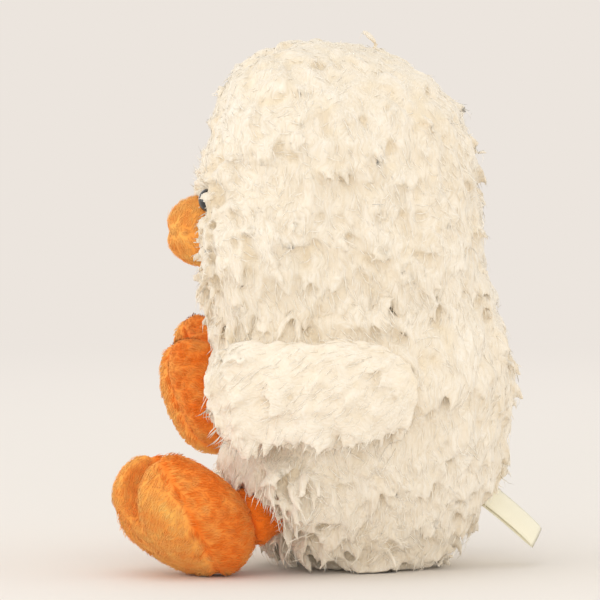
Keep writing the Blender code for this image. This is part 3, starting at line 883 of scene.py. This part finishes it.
@dataclass
class Stuffed:
    """A stuffed piece: a skin drawn from its solid, and the pile that grows on it."""

    node: str
    finish: PileFinish
    pile: Pile
    voxel: float = 0.003
    smoothing: int = 4
    inset: float = 0.0045
    clump: float = 0.011
    clump_height: float = 0.0012
    warp: float = 0.006
    warp_size: float = 0.015
    coat: Pile | None = None
    coat_voxel: float = 0.0014
    coat_smoothing: int = 4
    coat_height: float = 0.0035
    coat_limit: float = 0.0045
    fuzz: PileFinish | None = None
    fill: float = 0.7
    stuffing: float = 0.0

    def comb(self, place: Vector, normal: Vector) -> Vector:
        """Which way the pile lies at that place on the skin."""
        return DOWN

    def rise(self, place: Vector, normal: Vector) -> Vector:
        """Which way the pile stands up from there."""
        return normal

    def growth(self, place: Vector, normal: Vector) -> float:
        """The share of the strands that grow at that place."""
        return 1.0

    def reach(self, place: Vector, normal: Vector) -> float:
        """The share of the pile's length at that place."""
        return 1.0

    def depth(self, place: Vector, normal: Vector) -> float:
        """The share of the inset by which the skin lies under the solid's surface there."""
        return 1.0

    def lie(self, place: Vector, normal: Vector) -> float:
        """The share of the pile's lean at that place."""
        return 1.0

    def deep(self, place: Vector, normal: Vector) -> float:
        """Painted shade: how far the pile's colour is darkened towards its shade colour at that place."""
        return 0.0

    def relief(self, place: Vector) -> float:
        """How far the pile's clumps raise the skin there, from -0.5 in a crevice to 0.5 on a clump."""
        warped = place + noise.noise_vector(place / self.warp_size) * self.warp
        nearest, second = noise.voronoi(warped / self.clump)[0][:2]
        return smooth_step((second - nearest) / 0.5) - 0.5

    def skin(self) -> bpy.types.Object:
        """The skin: the solid remeshed, smoothed, drawn in under its pile and swelled by its filling.

        Returns:
            The skin, a closed mesh.
        """
        name = self.node + "_skin"
        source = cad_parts[self.node].data.copy()
        bm = bmesh.new()
        bm.from_mesh(source)
        bmesh.ops.remove_doubles(bm, verts=bm.verts[:], dist=WELD)
        bm.to_mesh(source)
        bm.free()
        skin = remeshed(link(bpy.data.objects.new(name, source)), self.voxel, self.smoothing)
        moves = []
        for vert in skin.data.vertices:
            share = self.depth(vert.co, vert.normal)
            raised = self.clump_height * self.relief(vert.co) * share if self.clump_height else 0.0
            moves.append(vert.normal * (raised - self.inset * share))
        for vert, move in zip(skin.data.vertices, moves):
            vert.co += move
        skin.data.update()
        if self.stuffing:
            self.swell(skin)
        skin.data.materials.clear()
        skin.data.materials.append(self.finish.material())
        skin.data.shade_smooth()
        return skin

    def swell(self, skin: bpy.types.Object) -> None:
        """Swells a skin with its filling: cloth under pressure, with each move capped."""
        start = [vert.co.copy() for vert in skin.data.vertices]
        cloth = skin.modifiers.new("Stuffing", "CLOTH")
        cloth.settings.use_pressure = True
        cloth.settings.uniform_pressure_force = STUFFING_PRESSURE
        cloth.settings.effector_weights.gravity = 0
        cloth.point_cache.frame_end = STUFFING_FRAMES
        for step in range(1, STUFFING_FRAMES + 1):
            bpy.context.scene.frame_set(step)
        applied(skin)
        for vert, origin in zip(skin.data.vertices, start):
            move = vert.co - origin
            if move.length > self.stuffing:
                vert.co = origin + move.normalized() * self.stuffing
        bpy.context.scene.frame_set(1)

    def steer(self, skin: bpy.types.Object) -> None:
        """Stores on a skin which way its pile lies, how densely it grows and how long it is."""
        verts = [(vert.co, vert.normal) for vert in skin.data.vertices]
        for name, size in STEERING.items():
            store(skin.data, name, [getattr(self, name)(*vert) for vert in verts], size)

    def coated(self, skin: bpy.types.Object) -> bpy.types.Object:
        """Fuses broad locks with the skin into one soft coat, which takes over the skin's steering.

        On the upper side, the coat's limit holds down any lock that stands up. The floor stops them all.

        Args:
            skin: The skin, with its steering attributes.

        Returns:
            The coat, a closed mesh with a height attribute: 0 in its crevices and 1 on its locks.
        """
        locks = self.coat.raised(skin, self.node + "_locks", self.finish)
        bm = bmesh.new()
        bm.from_mesh(skin.data)
        bm.from_mesh(locks.data)
        mesh = bpy.data.meshes.new(self.node + "_coat")
        bm.to_mesh(mesh)
        bm.free()
        coat = link(bpy.data.objects.new(self.node + "_coat", mesh))
        remeshed(coat, self.coat_voxel, self.coat_smoothing)
        tree = BVHTree.FromObject(skin, bpy.context.evaluated_depsgraph_get())
        roots = KDTree(len(skin.data.vertices))
        for index, vert in enumerate(skin.data.vertices):
            roots.insert(vert.co, index)
        roots.balance()
        nearest = []
        heights = []
        for vert in coat.data.vertices:
            vert.co.z = max(vert.co.z, self.coat.floor)
            nearest.append(roots.find(vert.co)[1])
            root, upright, _, apart = tree.find_nearest(vert.co)
            if upright.z > CROWN_FROM and apart > self.coat_limit:
                vert.co = root + (vert.co - root) * self.coat_limit / apart
            heights.append(min(1.0, apart / self.coat_height))
        for name, size in STEERING.items():
            store(coat.data, name, fetched(skin.data, name, size)[nearest], size)
        # The finish paints its darker root colour where the height is low, so the coat's crevices carry
        # painted shade.
        store(coat.data, "height", heights)
        coat.data.materials.clear()
        coat.data.materials.append(self.finish.material())
        coat.data.shade_smooth()
        for helper in (skin, locks):
            bpy.data.objects.remove(helper)
        return coat

    def build(self) -> None:
        """Makes the skin, its coat if it has one, and its pile."""
        skin = self.skin()
        self.steer(skin)
        if self.coat:
            skin = self.coated(skin)
        self.pile.grow(skin, self.node + "_pile", self.fuzz or self.finish)
        for label in ("comb", "rise", "growth", "reach", "lie"):
            skin.data.attributes.remove(skin.data.attributes[label])
        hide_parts(self.node)
        finished(skin)


# The last entry is painted shade, stored on the skin along with the steering.
STEERING = {"comb": 3, "rise": 3, "growth": 1, "reach": 1, "lie": 1, "deep": 1}
STUFFING_PRESSURE = 4.0
STUFFING_FRAMES = 20
CROWN_FROM = 0.5


COAT = Pile(
    spacing=0.0035,
    tuft_spacing=0.0075,
    length=0.0145,
    width=0.0025,
    thickness=0.0014,
    lean=0.78,
    gather=0.25,
    curl=0.60,
    droop=0.20,
    arch=0.28,
    tuck=0.16,
    stray=0.35,
    seed=23,
    sides=6,
    rings=((0.0, 0.6), (0.25, 0.95), (0.5, 1.0), (0.75, 0.8), (0.92, 0.45)),
)


@dataclass
class Head(Stuffed):
    """The head: long pile that flows back from the face in loose curls."""

    node: str = "head"
    finish: PileFinish = CREAM
    pile: Pile = Pile()
    coat: Pile | None = COAT
    fuzz: PileFinish | None = LIT_CREAM_FUZZ
    neck: Solids = field(default_factory=lambda: Solids("body"))
    domes: Solids = field(default_factory=lambda: Solids("eye_left", "eye_right"))
    pressed: Solids = field(default_factory=lambda: Solids("beak", "foot_right"))
    sewn: Solids = field(default_factory=lambda: Solids("eye_left", "eye_right", "beak"))
    face: Vector = field(default_factory=lambda: sum(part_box("beak"), Vector()) / 2)
    sockets: list[Vector] = field(
        default_factory=lambda: [sum(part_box(f"eye_{side.word}"), Vector()) / 2 for side in Side]
    )
    face_flow: float = 0.075
    socket_flow: float = 0.014
    cheek_fade: float = 0.007
    hem_band: Margin = Margin(0.010, 0.014)
    bare_neck: Margin = Margin(0.0012, 0.001)
    bare_seam: Margin = Margin(0.0002, 0.0008)
    bare_dome: Margin = Margin(0.0018, 0.001)
    short_band: Margin = Margin(0.001, 0.014)
    upright_band: Margin = Margin(0.003, 0.016)
    flush_band: Margin = Margin(0.002, 0.014)
    neck_band: Margin = Margin(0.002, 0.012)

    def comb(self, place: Vector, normal: Vector) -> Vector:
        """Away from the face and the eyes, and down the sides and the back."""
        away = place - self.face
        flow = smooth_step(1 - away.length / self.face_flow)
        comb = away.normalized() * (0.4 + flow) + DOWN * (0.7 + self.hem(place)) * (1 - flow)
        for middle in self.sockets:
            apart = place - middle
            comb = comb.lerp(apart.normalized() * 1.5, smooth_step(1.4 - apart.length / self.socket_flow))
        return comb

    def hem(self, place: Vector) -> float:
        """1 along the head's lower edge, which hangs over the neck."""
        return 1 - self.neck.clear(place, self.hem_band)

    def cheek(self, place: Vector) -> float:
        """1 just outside an eye, where the pile stands out and half covers it."""
        outer = 0.0
        for middle in self.sockets:
            aside = (abs(place.x) - abs(middle.x)) / self.cheek_fade
            apart = (place - middle).length / self.socket_flow
            outer = max(outer, smooth_step(aside) * smooth_step(1.6 - apart) * (place.x * middle.x > 0))
        return outer

    def growth(self, place: Vector, normal: Vector) -> float:
        """None under the head where it sits on the neck, or where the beak and the eyes are sewn in."""
        free = self.neck.clear(place, self.bare_neck) * self.pressed.clear(place, self.bare_seam)
        return free * self.domes.clear(place, self.bare_dome)

    def reach(self, place: Vector, normal: Vector) -> float:
        """Shorter round the eyes and the beak and on the crown, and longer where it hangs over the neck."""
        shorter = 0.55 + 0.45 * self.sewn.clear(place, self.short_band)
        crown = smooth_step((normal.z - 0.5) / 0.4)
        return shorter * (1 + 0.25 * self.hem(place)) * (1 - 0.35 * crown)

    def lie(self, place: Vector, normal: Vector) -> float:
        """More upright round the eyes and the beak, and under the head, where it hangs over the neck."""
        under = smooth_step((-normal.z - 0.2) / 0.5) * self.hem(place)
        return (0.3 + 0.7 * self.sewn.clear(place, self.upright_band)) * (1 - 0.35 * under)

    def depth(self, place: Vector, normal: Vector) -> float:
        """Hardly drawn in against the neck, and less round the eyes and the beak."""
        round_eyes = 0.2 + 0.8 * self.sewn.clear(place, self.flush_band)
        at_neck = 0.08 + 0.92 * self.neck.clear(place, self.neck_band)
        return round_eyes * at_neck - 0.35 * self.cheek(place)


@dataclass
class Body(Stuffed):
    """The body: long pile that hangs down in curls, over a flat seat."""

    node: str = "body"
    finish: PileFinish = CREAM
    pile: Pile = Pile(seed=31)
    coat: Pile | None = replace(COAT, seed=13)
    fuzz: PileFinish | None = LIT_CREAM_FUZZ
    neck: Solids = field(default_factory=lambda: Solids("head"))
    wings: Solids = field(default_factory=lambda: Solids("wing_left", "wing_right"))
    pressed: Solids = field(default_factory=lambda: Solids("foot_left", "foot_right", "sewn_in_label"))
    seat_height: float = 0.020
    lap_top: float = 0.070
    lap_fade: float = 0.022
    lap_foot: float = -0.002
    lap_rise: float = 0.028
    lap_from: float = 0.005
    lap_depth: float = 0.030
    neck_turn: Margin = Margin(0.006, 0.014)
    bare_wing: Margin = Margin(-0.003, 0.002)
    bare_neck: Margin = Margin(-0.004, 0.002)
    bare_seam: Margin = Margin(0.0006, 0.001)
    wing_band: Margin = Margin(0.001, 0.010)
    neck_band: Margin = Margin(0.002, 0.016)

    def comb(self, place: Vector, normal: Vector) -> Vector:
        """Down, and a little back, more so at the neck."""
        neck = 1 - self.neck.clear(place, self.neck_turn)
        return DOWN * (1 - 0.4 * neck) + BACK * 0.15

    def lap(self, place: Vector) -> float:
        """1 low on the front, where the pile bulges over the legs."""
        top = smooth_step((self.lap_top - place.z) / self.lap_fade)
        foot = smooth_step((place.z - self.lap_foot) / self.lap_rise)
        return top * foot * smooth_step((-place.y - self.lap_from) / self.lap_depth)

    def growth(self, place: Vector, normal: Vector) -> float:
        """None under the seat, or where another piece is sewn on or pressed to it."""
        seat = smooth_step((-normal.z - 0.8) / 0.15) * (place.z < self.seat_height)
        sewn = self.wings.clear(place, self.bare_wing) * self.neck.clear(place, self.bare_neck)
        return (1 - seat) * sewn * self.pressed.clear(place, self.bare_seam)

    def depth(self, place: Vector, normal: Vector) -> float:
        """Hardly drawn in at the seat or by the wings, and fuller at the neck and low on the front."""
        seat = 1 - 0.85 * smooth_step((-normal.z - 0.7) / 0.2) * (place.z < self.seat_height)
        wings = 0.3 + 0.7 * self.wings.clear(place, self.wing_band)
        drawn = seat * wings * (1.7 * self.neck.clear(place, self.neck_band) - 0.7)
        return drawn - 1.9 * self.lap(place)

    def reach(self, place: Vector, normal: Vector) -> float:
        """Longer low on the front."""
        return 1 + 0.35 * self.lap(place)

    def lie(self, place: Vector, normal: Vector) -> float:
        """Less flat low on the front, so that it hangs over the legs."""
        return 1 - 0.35 * self.lap(place)


@dataclass
class Wing(Stuffed):
    """A wing: paler and smoother pile, brushed forward and down."""

    side: Side = Side.LEFT
    node: str = ""
    finish: PileFinish = WING_PALE
    pile: Pile = Pile(seed=51, swirl=0.35, curl=0.3)
    fuzz: PileFinish | None = LIT_WING_FUZZ
    coat: Pile | None = replace(
        COAT, seed=17, length=0.0125, thickness=0.0013, swirl=0.4, stray=0.3, curl=0.3
    )
    inset: float = 0.0034
    clump_height: float = 0.0
    feet: Solids = field(default_factory=lambda: Solids("foot_left", "foot_right"))
    pressed: Margin = Margin(0.0006, 0.001)
    low_edge: float = 0.020
    front_end: float = 0.030
    corner: Vector = field(default_factory=Vector)

    def __post_init__(self) -> None:
        """Names the node from the side and finds its lowest and foremost corner."""
        self.node = f"wing_{self.side.word}"
        self.corner = Vector(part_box(self.node)[0])

    def comb(self, place: Vector, normal: Vector) -> Vector:
        """Forward and down, and more down along the lower edge."""
        low = 1 - smooth_step((place.z - self.corner.z) / self.low_edge)
        return Vector((0, -0.85 + 0.35 * low, -0.55 - 0.7 * low))

    def lie(self, place: Vector, normal: Vector) -> float:
        """Upright along the lower edge, so that it hangs down over the body."""
        return 1 - 0.6 * smooth_step((-normal.z - 0.2) / 0.5)

    def front(self, place: Vector) -> float:
        """1 at the front end, which hangs over the belly and a foot."""
        return 1 - smooth_step((place.y - self.corner.y) / self.front_end)

    def reach(self, place: Vector, normal: Vector) -> float:
        """Longer at the front end."""
        return 1 + 0.4 * self.front(place)

    def depth(self, place: Vector, normal: Vector) -> float:
        """Fuller at the front end."""
        return 1 - 2.2 * self.front(place)

    def growth(self, place: Vector, normal: Vector) -> float:
        """None where a foot is pressed to it."""
        return self.feet.clear(place, self.pressed)


SHORT_PILE = Pile(
    spacing=0.00105,
    tuft_spacing=0.0034,
    length=0.0034,
    width=0.00030,
    thickness=0.00012,
    lean=0.84,
    gather=0.42,
    curl=0.30,
    arch=0.26,
    swirl=0.22,
    swirl_size=0.012,
    stray=0.16,
    tuck=0.02,
    softness=0.65,
    seed=71,
    rings=((0.0, 0.8), (0.55, 1.0)),
)


@dataclass
class Foot(Stuffed):
    """A webbed foot in short pile, brushed away from the seam that runs round its edge."""

    side: Side = Side.LEFT
    node: str = ""
    finish: PileFinish = ORANGE
    pile: Pile = SHORT_PILE
    voxel: float = 0.0017
    smoothing: int = 2
    inset: float = 0.0012
    clump_height: float = 0.0
    stuffing: float = 0.0008
    toes: Vector = field(default_factory=Vector)
    top: Vector = field(default_factory=Vector)
    seam: Vector = field(default_factory=Vector)
    middle: Vector = field(default_factory=Vector)
    toe_creases: tuple[tuple[float, float], ...] = ()
    toe_crease: float = math.radians(7)
    toe_root: float = 0.012
    toe_length: float = 0.016
    parting: float = 0.003
    seam_width: float = 0.0018
    groove_middle: float = 0.001
    groove_width: float = 0.0022
    shade_width: float = 0.016

    def __post_init__(self) -> None:
        """Names the node from the side and finds the foot's own axes."""
        self.node = f"foot_{self.side.word}"
        toes, top, seam = FOOT_AXES[self.side]
        self.toe_creases = TOE_CREASES[self.side]
        self.toes = toes.normalized()
        self.seam = seam.normalized()
        self.top = self.toes.cross(top).cross(self.toes).normalized()
        self.middle = sum(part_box(self.node), Vector()) / 2

    def comb(self, place: Vector, normal: Vector) -> Vector:
        """Away from the seam on both sides, and back towards the heel."""
        side = math.tanh((place - self.middle).dot(self.seam) / self.parting)
        return self.seam * side - self.toes * 0.45

    def deep(self, place: Vector, normal: Vector) -> float:
        """Painted shade: deeper orange on the upper side, which lies in the chick's own shade, and along the
        seam.
        """
        across = (place - self.middle).dot(self.seam)
        groove = math.exp(-(((across - self.groove_middle) / self.groove_width) ** 2))
        return 0.44 * smooth_step(across / self.shade_width + 0.35) + 0.35 * groove

    def depth(self, place: Vector, normal: Vector) -> float:
        """Drawn in along the seam, and deeply between the toes."""
        own = place - self.middle
        ahead = own.dot(self.toes)
        aside = own.dot(self.toes.cross(self.top))
        turn = math.atan2(aside, ahead)
        out = smooth_step((math.hypot(ahead, aside) - self.toe_root) / self.toe_length)
        seam = math.exp(-((own.dot(self.seam) / self.seam_width) ** 2))
        edge = max(0.0, normal.dot((own - self.top * own.dot(self.top)).normalized()))
        drawn = 1 + 1.1 * seam
        for angle, share in self.toe_creases:
            apart = (turn - math.radians(angle)) / self.toe_crease
            drawn += share * (0.12 + 0.88 * edge) * out * math.exp(-(apart**2))
        return drawn


# Each crease's angle from the toes' axis, in degrees, and its depth. Below 0 it fills the solid's notch.
TOE_CREASES = {
    Side.LEFT: ((-18, 12.0), (-36, -1.5), (29, 7.0)),
    Side.RIGHT: ((-62, 7.0), (-27, -2.5), (4, 5.0), (29, -1.0)),
}
# Where each foot's toes and its top point, and the direction across its seam.
FOOT_AXES = {
    Side.LEFT: (Vector((0.06, -0.82, 0.56)), Vector((-0.42, 0.48, 0.74)), Vector((-0.10, 0.88, 0.46))),
    Side.RIGHT: (Vector((-0.50, 0.14, 0.80)), Vector((0.80, 0.45, 0.40)), Vector((0.80, 0.45, 0.40))),
}


@dataclass
class Leg(Stuffed):
    """A leg: a stuffed tube in short pile."""

    side: Side = Side.LEFT
    node: str = ""
    finish: PileFinish = ORANGE
    pile: Pile = SHORT_PILE
    voxel: float = 0.0025
    smoothing: int = 3
    inset: float = 0.0012
    clump_height: float = 0.0
    foot: Solids | None = None
    flare: Margin = Margin(-0.001, 0.012)
    flare_share: float = 3.6
    bare_seam: Margin = Margin(0.0002, 0.0008)

    def __post_init__(self) -> None:
        """Names the node from the side and finds the foot that it meets."""
        self.node = f"leg_{self.side.word}"
        self.foot = Solids(f"foot_{self.side.word}")

    def comb(self, place: Vector, normal: Vector) -> Vector:
        """Out towards the foot."""
        return Vector((0.2 * self.side.value, -1, 0.1))

    def deep(self, place: Vector, normal: Vector) -> float:
        """Painted shade: deeper than the sole, in the shade of the belly."""
        return 1.0

    def depth(self, place: Vector, normal: Vector) -> float:
        """Flared where it meets the foot."""
        return 1 - self.flare_share * (1 - self.foot.clear(place, self.flare))

    def growth(self, place: Vector, normal: Vector) -> float:
        """None inside the foot."""
        return self.foot.clear(place, self.bare_seam)


@dataclass
class Beak(Stuffed):
    """The beak: two panels in short pile that meet at the mouth."""

    node: str = "beak"
    finish: PileFinish = ORANGE
    pile: Pile = SHORT_PILE
    voxel: float = 0.0018
    smoothing: int = 3
    inset: float = 0.0010
    clump_height: float = 0.0
    middle: Vector = field(default_factory=lambda: sum(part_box("beak"), Vector()) / 2)
    parting: float = 0.003

    def comb(self, place: Vector, normal: Vector) -> Vector:
        """Away from the mouth's crease, and back towards the face."""
        side = math.tanh((place.z - self.middle.z) / self.parting)
        return UP * side * 0.8 + BACK * 0.5


@dataclass
class Eye:
    """A safety eye: a glossy dome on its shank."""

    side: Side
    plastic: bpy.types.Material
    steps: int = 40
    dome_points: int = 12
    lip: float = 0.0004

    def build(self) -> None:
        """Turns the eye on the axis of its solid."""
        node = f"eye_{self.side.word}"
        points = np.array([vert.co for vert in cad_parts[node].data.vertices])
        middle = points.mean(axis=0)
        axes = np.linalg.svd(points - middle)[2]
        axis = Vector(axes[0])
        if axis.y > 0:
            axis.negate()
        along = (points - middle) @ np.array(axis)
        radii = np.linalg.norm(points - middle - np.outer(along, np.array(axis)), axis=1)
        radius = radii.max()
        base = along[radii > radius - ROUND_OFF].min()
        shank = radii[np.abs(along - along.min()) < ROUND_OFF].max()
        profile = [(0.0, along.max())]
        for step in range(1, self.dome_points + 1):
            turn = math.pi / 2 * step / self.dome_points
            height = base + self.lip + (along.max() - base - self.lip) * math.cos(turn)
            profile.append((radius * math.sin(turn), height))
        profile += [(radius, base), (shank, base), (shank, along.min()), (0.0, along.min())]
        place = Matrix.Translation(middle) @ axis.to_track_quat("Z", "Y").to_matrix().to_4x4()
        eye = turned(f"safety_eye_{self.side.word}", profile, self.steps, place)
        eye.data.materials.append(self.plastic)
        eye.data.shade_smooth()
        eye.data.set_sharp_from_angle(angle=math.radians(50))
        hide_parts(node)
        finished(eye)


def turned(name: str, profile: list[tuple[float, float]], steps: int, place: Matrix) -> bpy.types.Object:
    """A turned solid.

    Args:
        name: The object's name.
        profile: Its (radius, height) points from the top of the axis to its foot.
        steps: How many steps it is turned in.
        place: Where it goes, with its axis on Z.

    Returns:
        The solid, a closed mesh.
    """
    bm = bmesh.new()
    verts = [bm.verts.new((radius, 0, height)) for radius, height in profile]
    edges = [bm.edges.new(pair) for pair in zip(verts, verts[1:])]
    bmesh.ops.spin(
        bm, geom=verts + edges, axis=(0, 0, 1), cent=(0, 0, 0), angle=2 * math.pi, steps=steps, use_merge=True
    )
    bmesh.ops.remove_doubles(bm, verts=bm.verts[:], dist=WELD)
    bmesh.ops.recalc_face_normals(bm, faces=bm.faces[:])
    bm.transform(place)
    mesh = bpy.data.meshes.new(name)
    bm.to_mesh(mesh)
    bm.free()
    return link(bpy.data.objects.new(name, mesh))


@dataclass
class Label:
    """The sewn-in label: a bare satin ribbon, folded in two."""

    steps: int = 24
    across: int = 8
    wall: float = 0.0003
    sag: float = 0.004
    curl: float = 0.0012
    opening: float = 0.0016
    direction: Vector = field(default_factory=lambda: Vector((0.0, 0.83, -0.56)).normalized())
    top: Vector = field(default_factory=lambda: Vector((0.44, 0.50, 0.74)))

    def build(self) -> None:
        """Folds the ribbon where its solid lies."""
        x_axis = self.direction.cross(self.top).normalized()
        z_axis = x_axis.cross(self.direction)
        turn = Matrix((x_axis, self.direction, z_axis)).transposed()
        own = [turn.inverted() @ vert.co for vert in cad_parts["sewn_in_label"].data.vertices]
        low = Vector([min(point[axis] for point in own) for axis in range(3)])
        high = Vector([max(point[axis] for point in own) for axis in range(3)])
        root = turn @ Vector(((low.x + high.x) / 2, low.y, high.z - self.wall))
        width = high.x - low.x
        length = high.y - low.y
        bm = bmesh.new()
        uv = bm.loops.layers.uv.new("UVMap")
        rows = []
        for step in range(2 * self.steps + 1):
            out = step / self.steps
            upper = out <= 1
            share = out if upper else 2 - out
            fold = self.opening / 2 * math.sqrt(max(0.0, 1 - share**6)) * (1 if upper else -1)
            sag = self.sag * share**2
            row = []
            for index in range(self.across + 1):
                side = index / self.across * 2 - 1
                cup = self.curl * side * side * share
                row.append(bm.verts.new((side * width / 2, share * length, fold - sag - cup)))
            rows.append(row)
        for step, (near, far) in enumerate(zip(rows, rows[1:])):
            for index in range(self.across):
                face = bm.faces.new((near[index], near[index + 1], far[index + 1], far[index]))
                places = ((index, step), (index + 1, step), (index + 1, step + 1), (index, step + 1))
                for loop, (column, row) in zip(face.loops, places):
                    loop[uv].uv = (column / self.across * width, row / self.steps * length)
        bm.normal_update()
        bm.transform(Matrix.Translation(root) @ turn.to_4x4())
        mesh = bpy.data.meshes.new("label_ribbon")
        bm.to_mesh(mesh)
        bm.free()
        ribbon = link(bpy.data.objects.new("label_ribbon", mesh))
        mesh.materials.append(ribbon_satin("ribbon_satin"))
        wall = ribbon.modifiers.new("Wall", "SOLIDIFY")
        wall.thickness = self.wall
        wall.offset = 0
        applied(ribbon)
        ribbon.data.shade_smooth()
        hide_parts("sewn_in_label")
        finished(ribbon)


@dataclass
class Studio:
    """The pale floor, the soft lights and the camera at the photograph's angle."""

    azimuth: float = 90.0
    elevation: float = 4.0
    distance: float = 3.6
    lens: float = 432.0
    target: Vector = field(default_factory=lambda: Vector((0.025, -0.0308, 0.1363)))
    floor_colour: Colour = srgb(235, 230, 224)
    backdrop_colour: Colour = srgb(236, 229, 222)
    fade_from: float = 0.5
    fade_to: float = 1.5
    world_strength: float = 0.83
    floor_radius: float = 12.0
    lamp_colour: tuple[float, float, float] = (1.0, 0.985, 0.96)
    world_colour: Colour = (1.0, 0.985, 0.965, 1.0)
    key_place: tuple[float, float, float] = (0.6, -0.3, 1.5)
    key_size: float = 1.2
    key_watts: float = 3.6
    fill_watts: tuple[float, ...] = (8.8, 6.6, 6.6, 9.5)
    fill_away: float = 1.8
    fill_height: float = 0.35
    fill_size: float = 1.4

    def floor(self) -> None:
        """A wide round floor of pale paper, which fades into the backdrop's colour with distance."""
        bm = bmesh.new()
        bmesh.ops.create_circle(bm, cap_ends=True, segments=96, radius=self.floor_radius)
        mesh = bpy.data.meshes.new("floor")
        bm.to_mesh(mesh)
        bm.free()
        floor = link(bpy.data.objects.new("floor", mesh))
        paper = bpy.data.materials.new("floor_paper")
        paper.use_nodes = True
        tree = Tree(paper.node_tree)
        shader = paper.node_tree.nodes["Principled BSDF"]
        shader.inputs["Base Color"].default_value = self.floor_colour
        shader.inputs["Roughness"].default_value = 1.0
        shader.inputs["Specular IOR Level"].default_value = 0.0
        place = tree.made("ShaderNodeTexCoord", "Object")
        away = tree.made("ShaderNodeVectorMath", "Value", {0: place}, operation="LENGTH")
        ramp = {"Value": away, "From Min": self.fade_from, "From Max": self.fade_to}
        faded = tree.made("ShaderNodeMapRange", "Result", ramp, interpolation_type="SMOOTHSTEP")
        rays = tree.node("ShaderNodeLightPath").outputs
        share = tree.math("MULTIPLY", faded, rays["Is Camera Ray"])
        glow = tree.made("ShaderNodeEmission", 0, {"Color": self.backdrop_colour, "Strength": 1.0})
        both = tree.node("ShaderNodeMixShader", {0: share, 1: shader.outputs[0], 2: glow})
        tree.put(both.outputs[0], paper.node_tree.nodes["Material Output"].inputs["Surface"])
        mesh.materials.append(paper)

    def lamp(self, name: str, place: tuple[float, float, float], size: float, watts: float) -> None:
        """A square soft light aimed at the chick."""
        light = bpy.data.lights.new(name, "AREA")
        light.size = size
        light.energy = watts
        light.color = self.lamp_colour
        lamp = link(bpy.data.objects.new(name, light))
        lamp.location = place
        lamp.rotation_euler = (self.target - Vector(place)).to_track_quat("-Z", "Y").to_euler()

    def build(self) -> None:
        """Sets up the stage, the lights, the world and the camera."""
        scene = bpy.context.scene
        self.floor()
        self.lamp("key", self.key_place, self.key_size, self.key_watts)
        for index, watts in enumerate(self.fill_watts):
            turn = 2 * math.pi * index / len(self.fill_watts)
            place = (self.fill_away * math.cos(turn), self.fill_away * math.sin(turn), self.fill_height)
            self.lamp(f"fill_{index + 1}", place, self.fill_size, watts)
        world = bpy.data.worlds.new("studio")
        world.use_nodes = True
        tree = Tree(world.node_tree)
        rays = tree.node("ShaderNodeLightPath").outputs
        light = world.node_tree.nodes["Background"]
        light.inputs["Color"].default_value = self.world_colour
        light.inputs["Strength"].default_value = self.world_strength
        seen = tree.made("ShaderNodeBackground", 0, {"Color": self.backdrop_colour, "Strength": 1.0})
        both = tree.node("ShaderNodeMixShader", {0: rays["Is Camera Ray"], 1: light.outputs[0], 2: seen})
        tree.put(both.outputs[0], world.node_tree.nodes["World Output"].inputs["Surface"])
        scene.world = world
        camera = bpy.data.cameras.new("camera")
        camera.lens = self.lens
        camera.clip_start = 0.05
        eye = link(bpy.data.objects.new("camera", camera))
        turn, rise = math.radians(self.azimuth), math.radians(self.elevation)
        out = Vector((math.sin(turn) * math.cos(rise), -math.cos(turn) * math.cos(rise), math.sin(rise)))
        eye.location = self.target + out * self.distance
        eye.rotation_euler = (-out).to_track_quat("-Z", "Y").to_euler()
        scene.camera = eye
        scene.view_settings.view_transform = "Standard"


def main() -> None:
    """Builds the chick's pieces in order, then the studio."""
    layout = "%(relativeCreated)7.0f ms  %(message)s"
    logging.basicConfig(level=logging.INFO, format=layout, stream=sys.stdout)
    Head().build()
    Body().build()
    Beak().build()
    for side in Side:
        Wing(side=side).build()
        Leg(side=side).build()
        Foot(side=side).build()
    black = moulded("eye_plastic", srgb(14, 13, 14), srgb(26, 24, 26), 0.12, 0.4)
    for side in Side:
        Eye(side, black).build()
    clear = moulded("washer_plastic", srgb(232, 230, 222), srgb(214, 212, 204), 0.45, 0.0)
    for side in Side:
        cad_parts[f"eye_washer_{side.word}"].data.materials.clear()
        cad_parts[f"eye_washer_{side.word}"].data.materials.append(clear)
    Label().build()
    Studio().build()


if __name__ == "__main__":
    main()
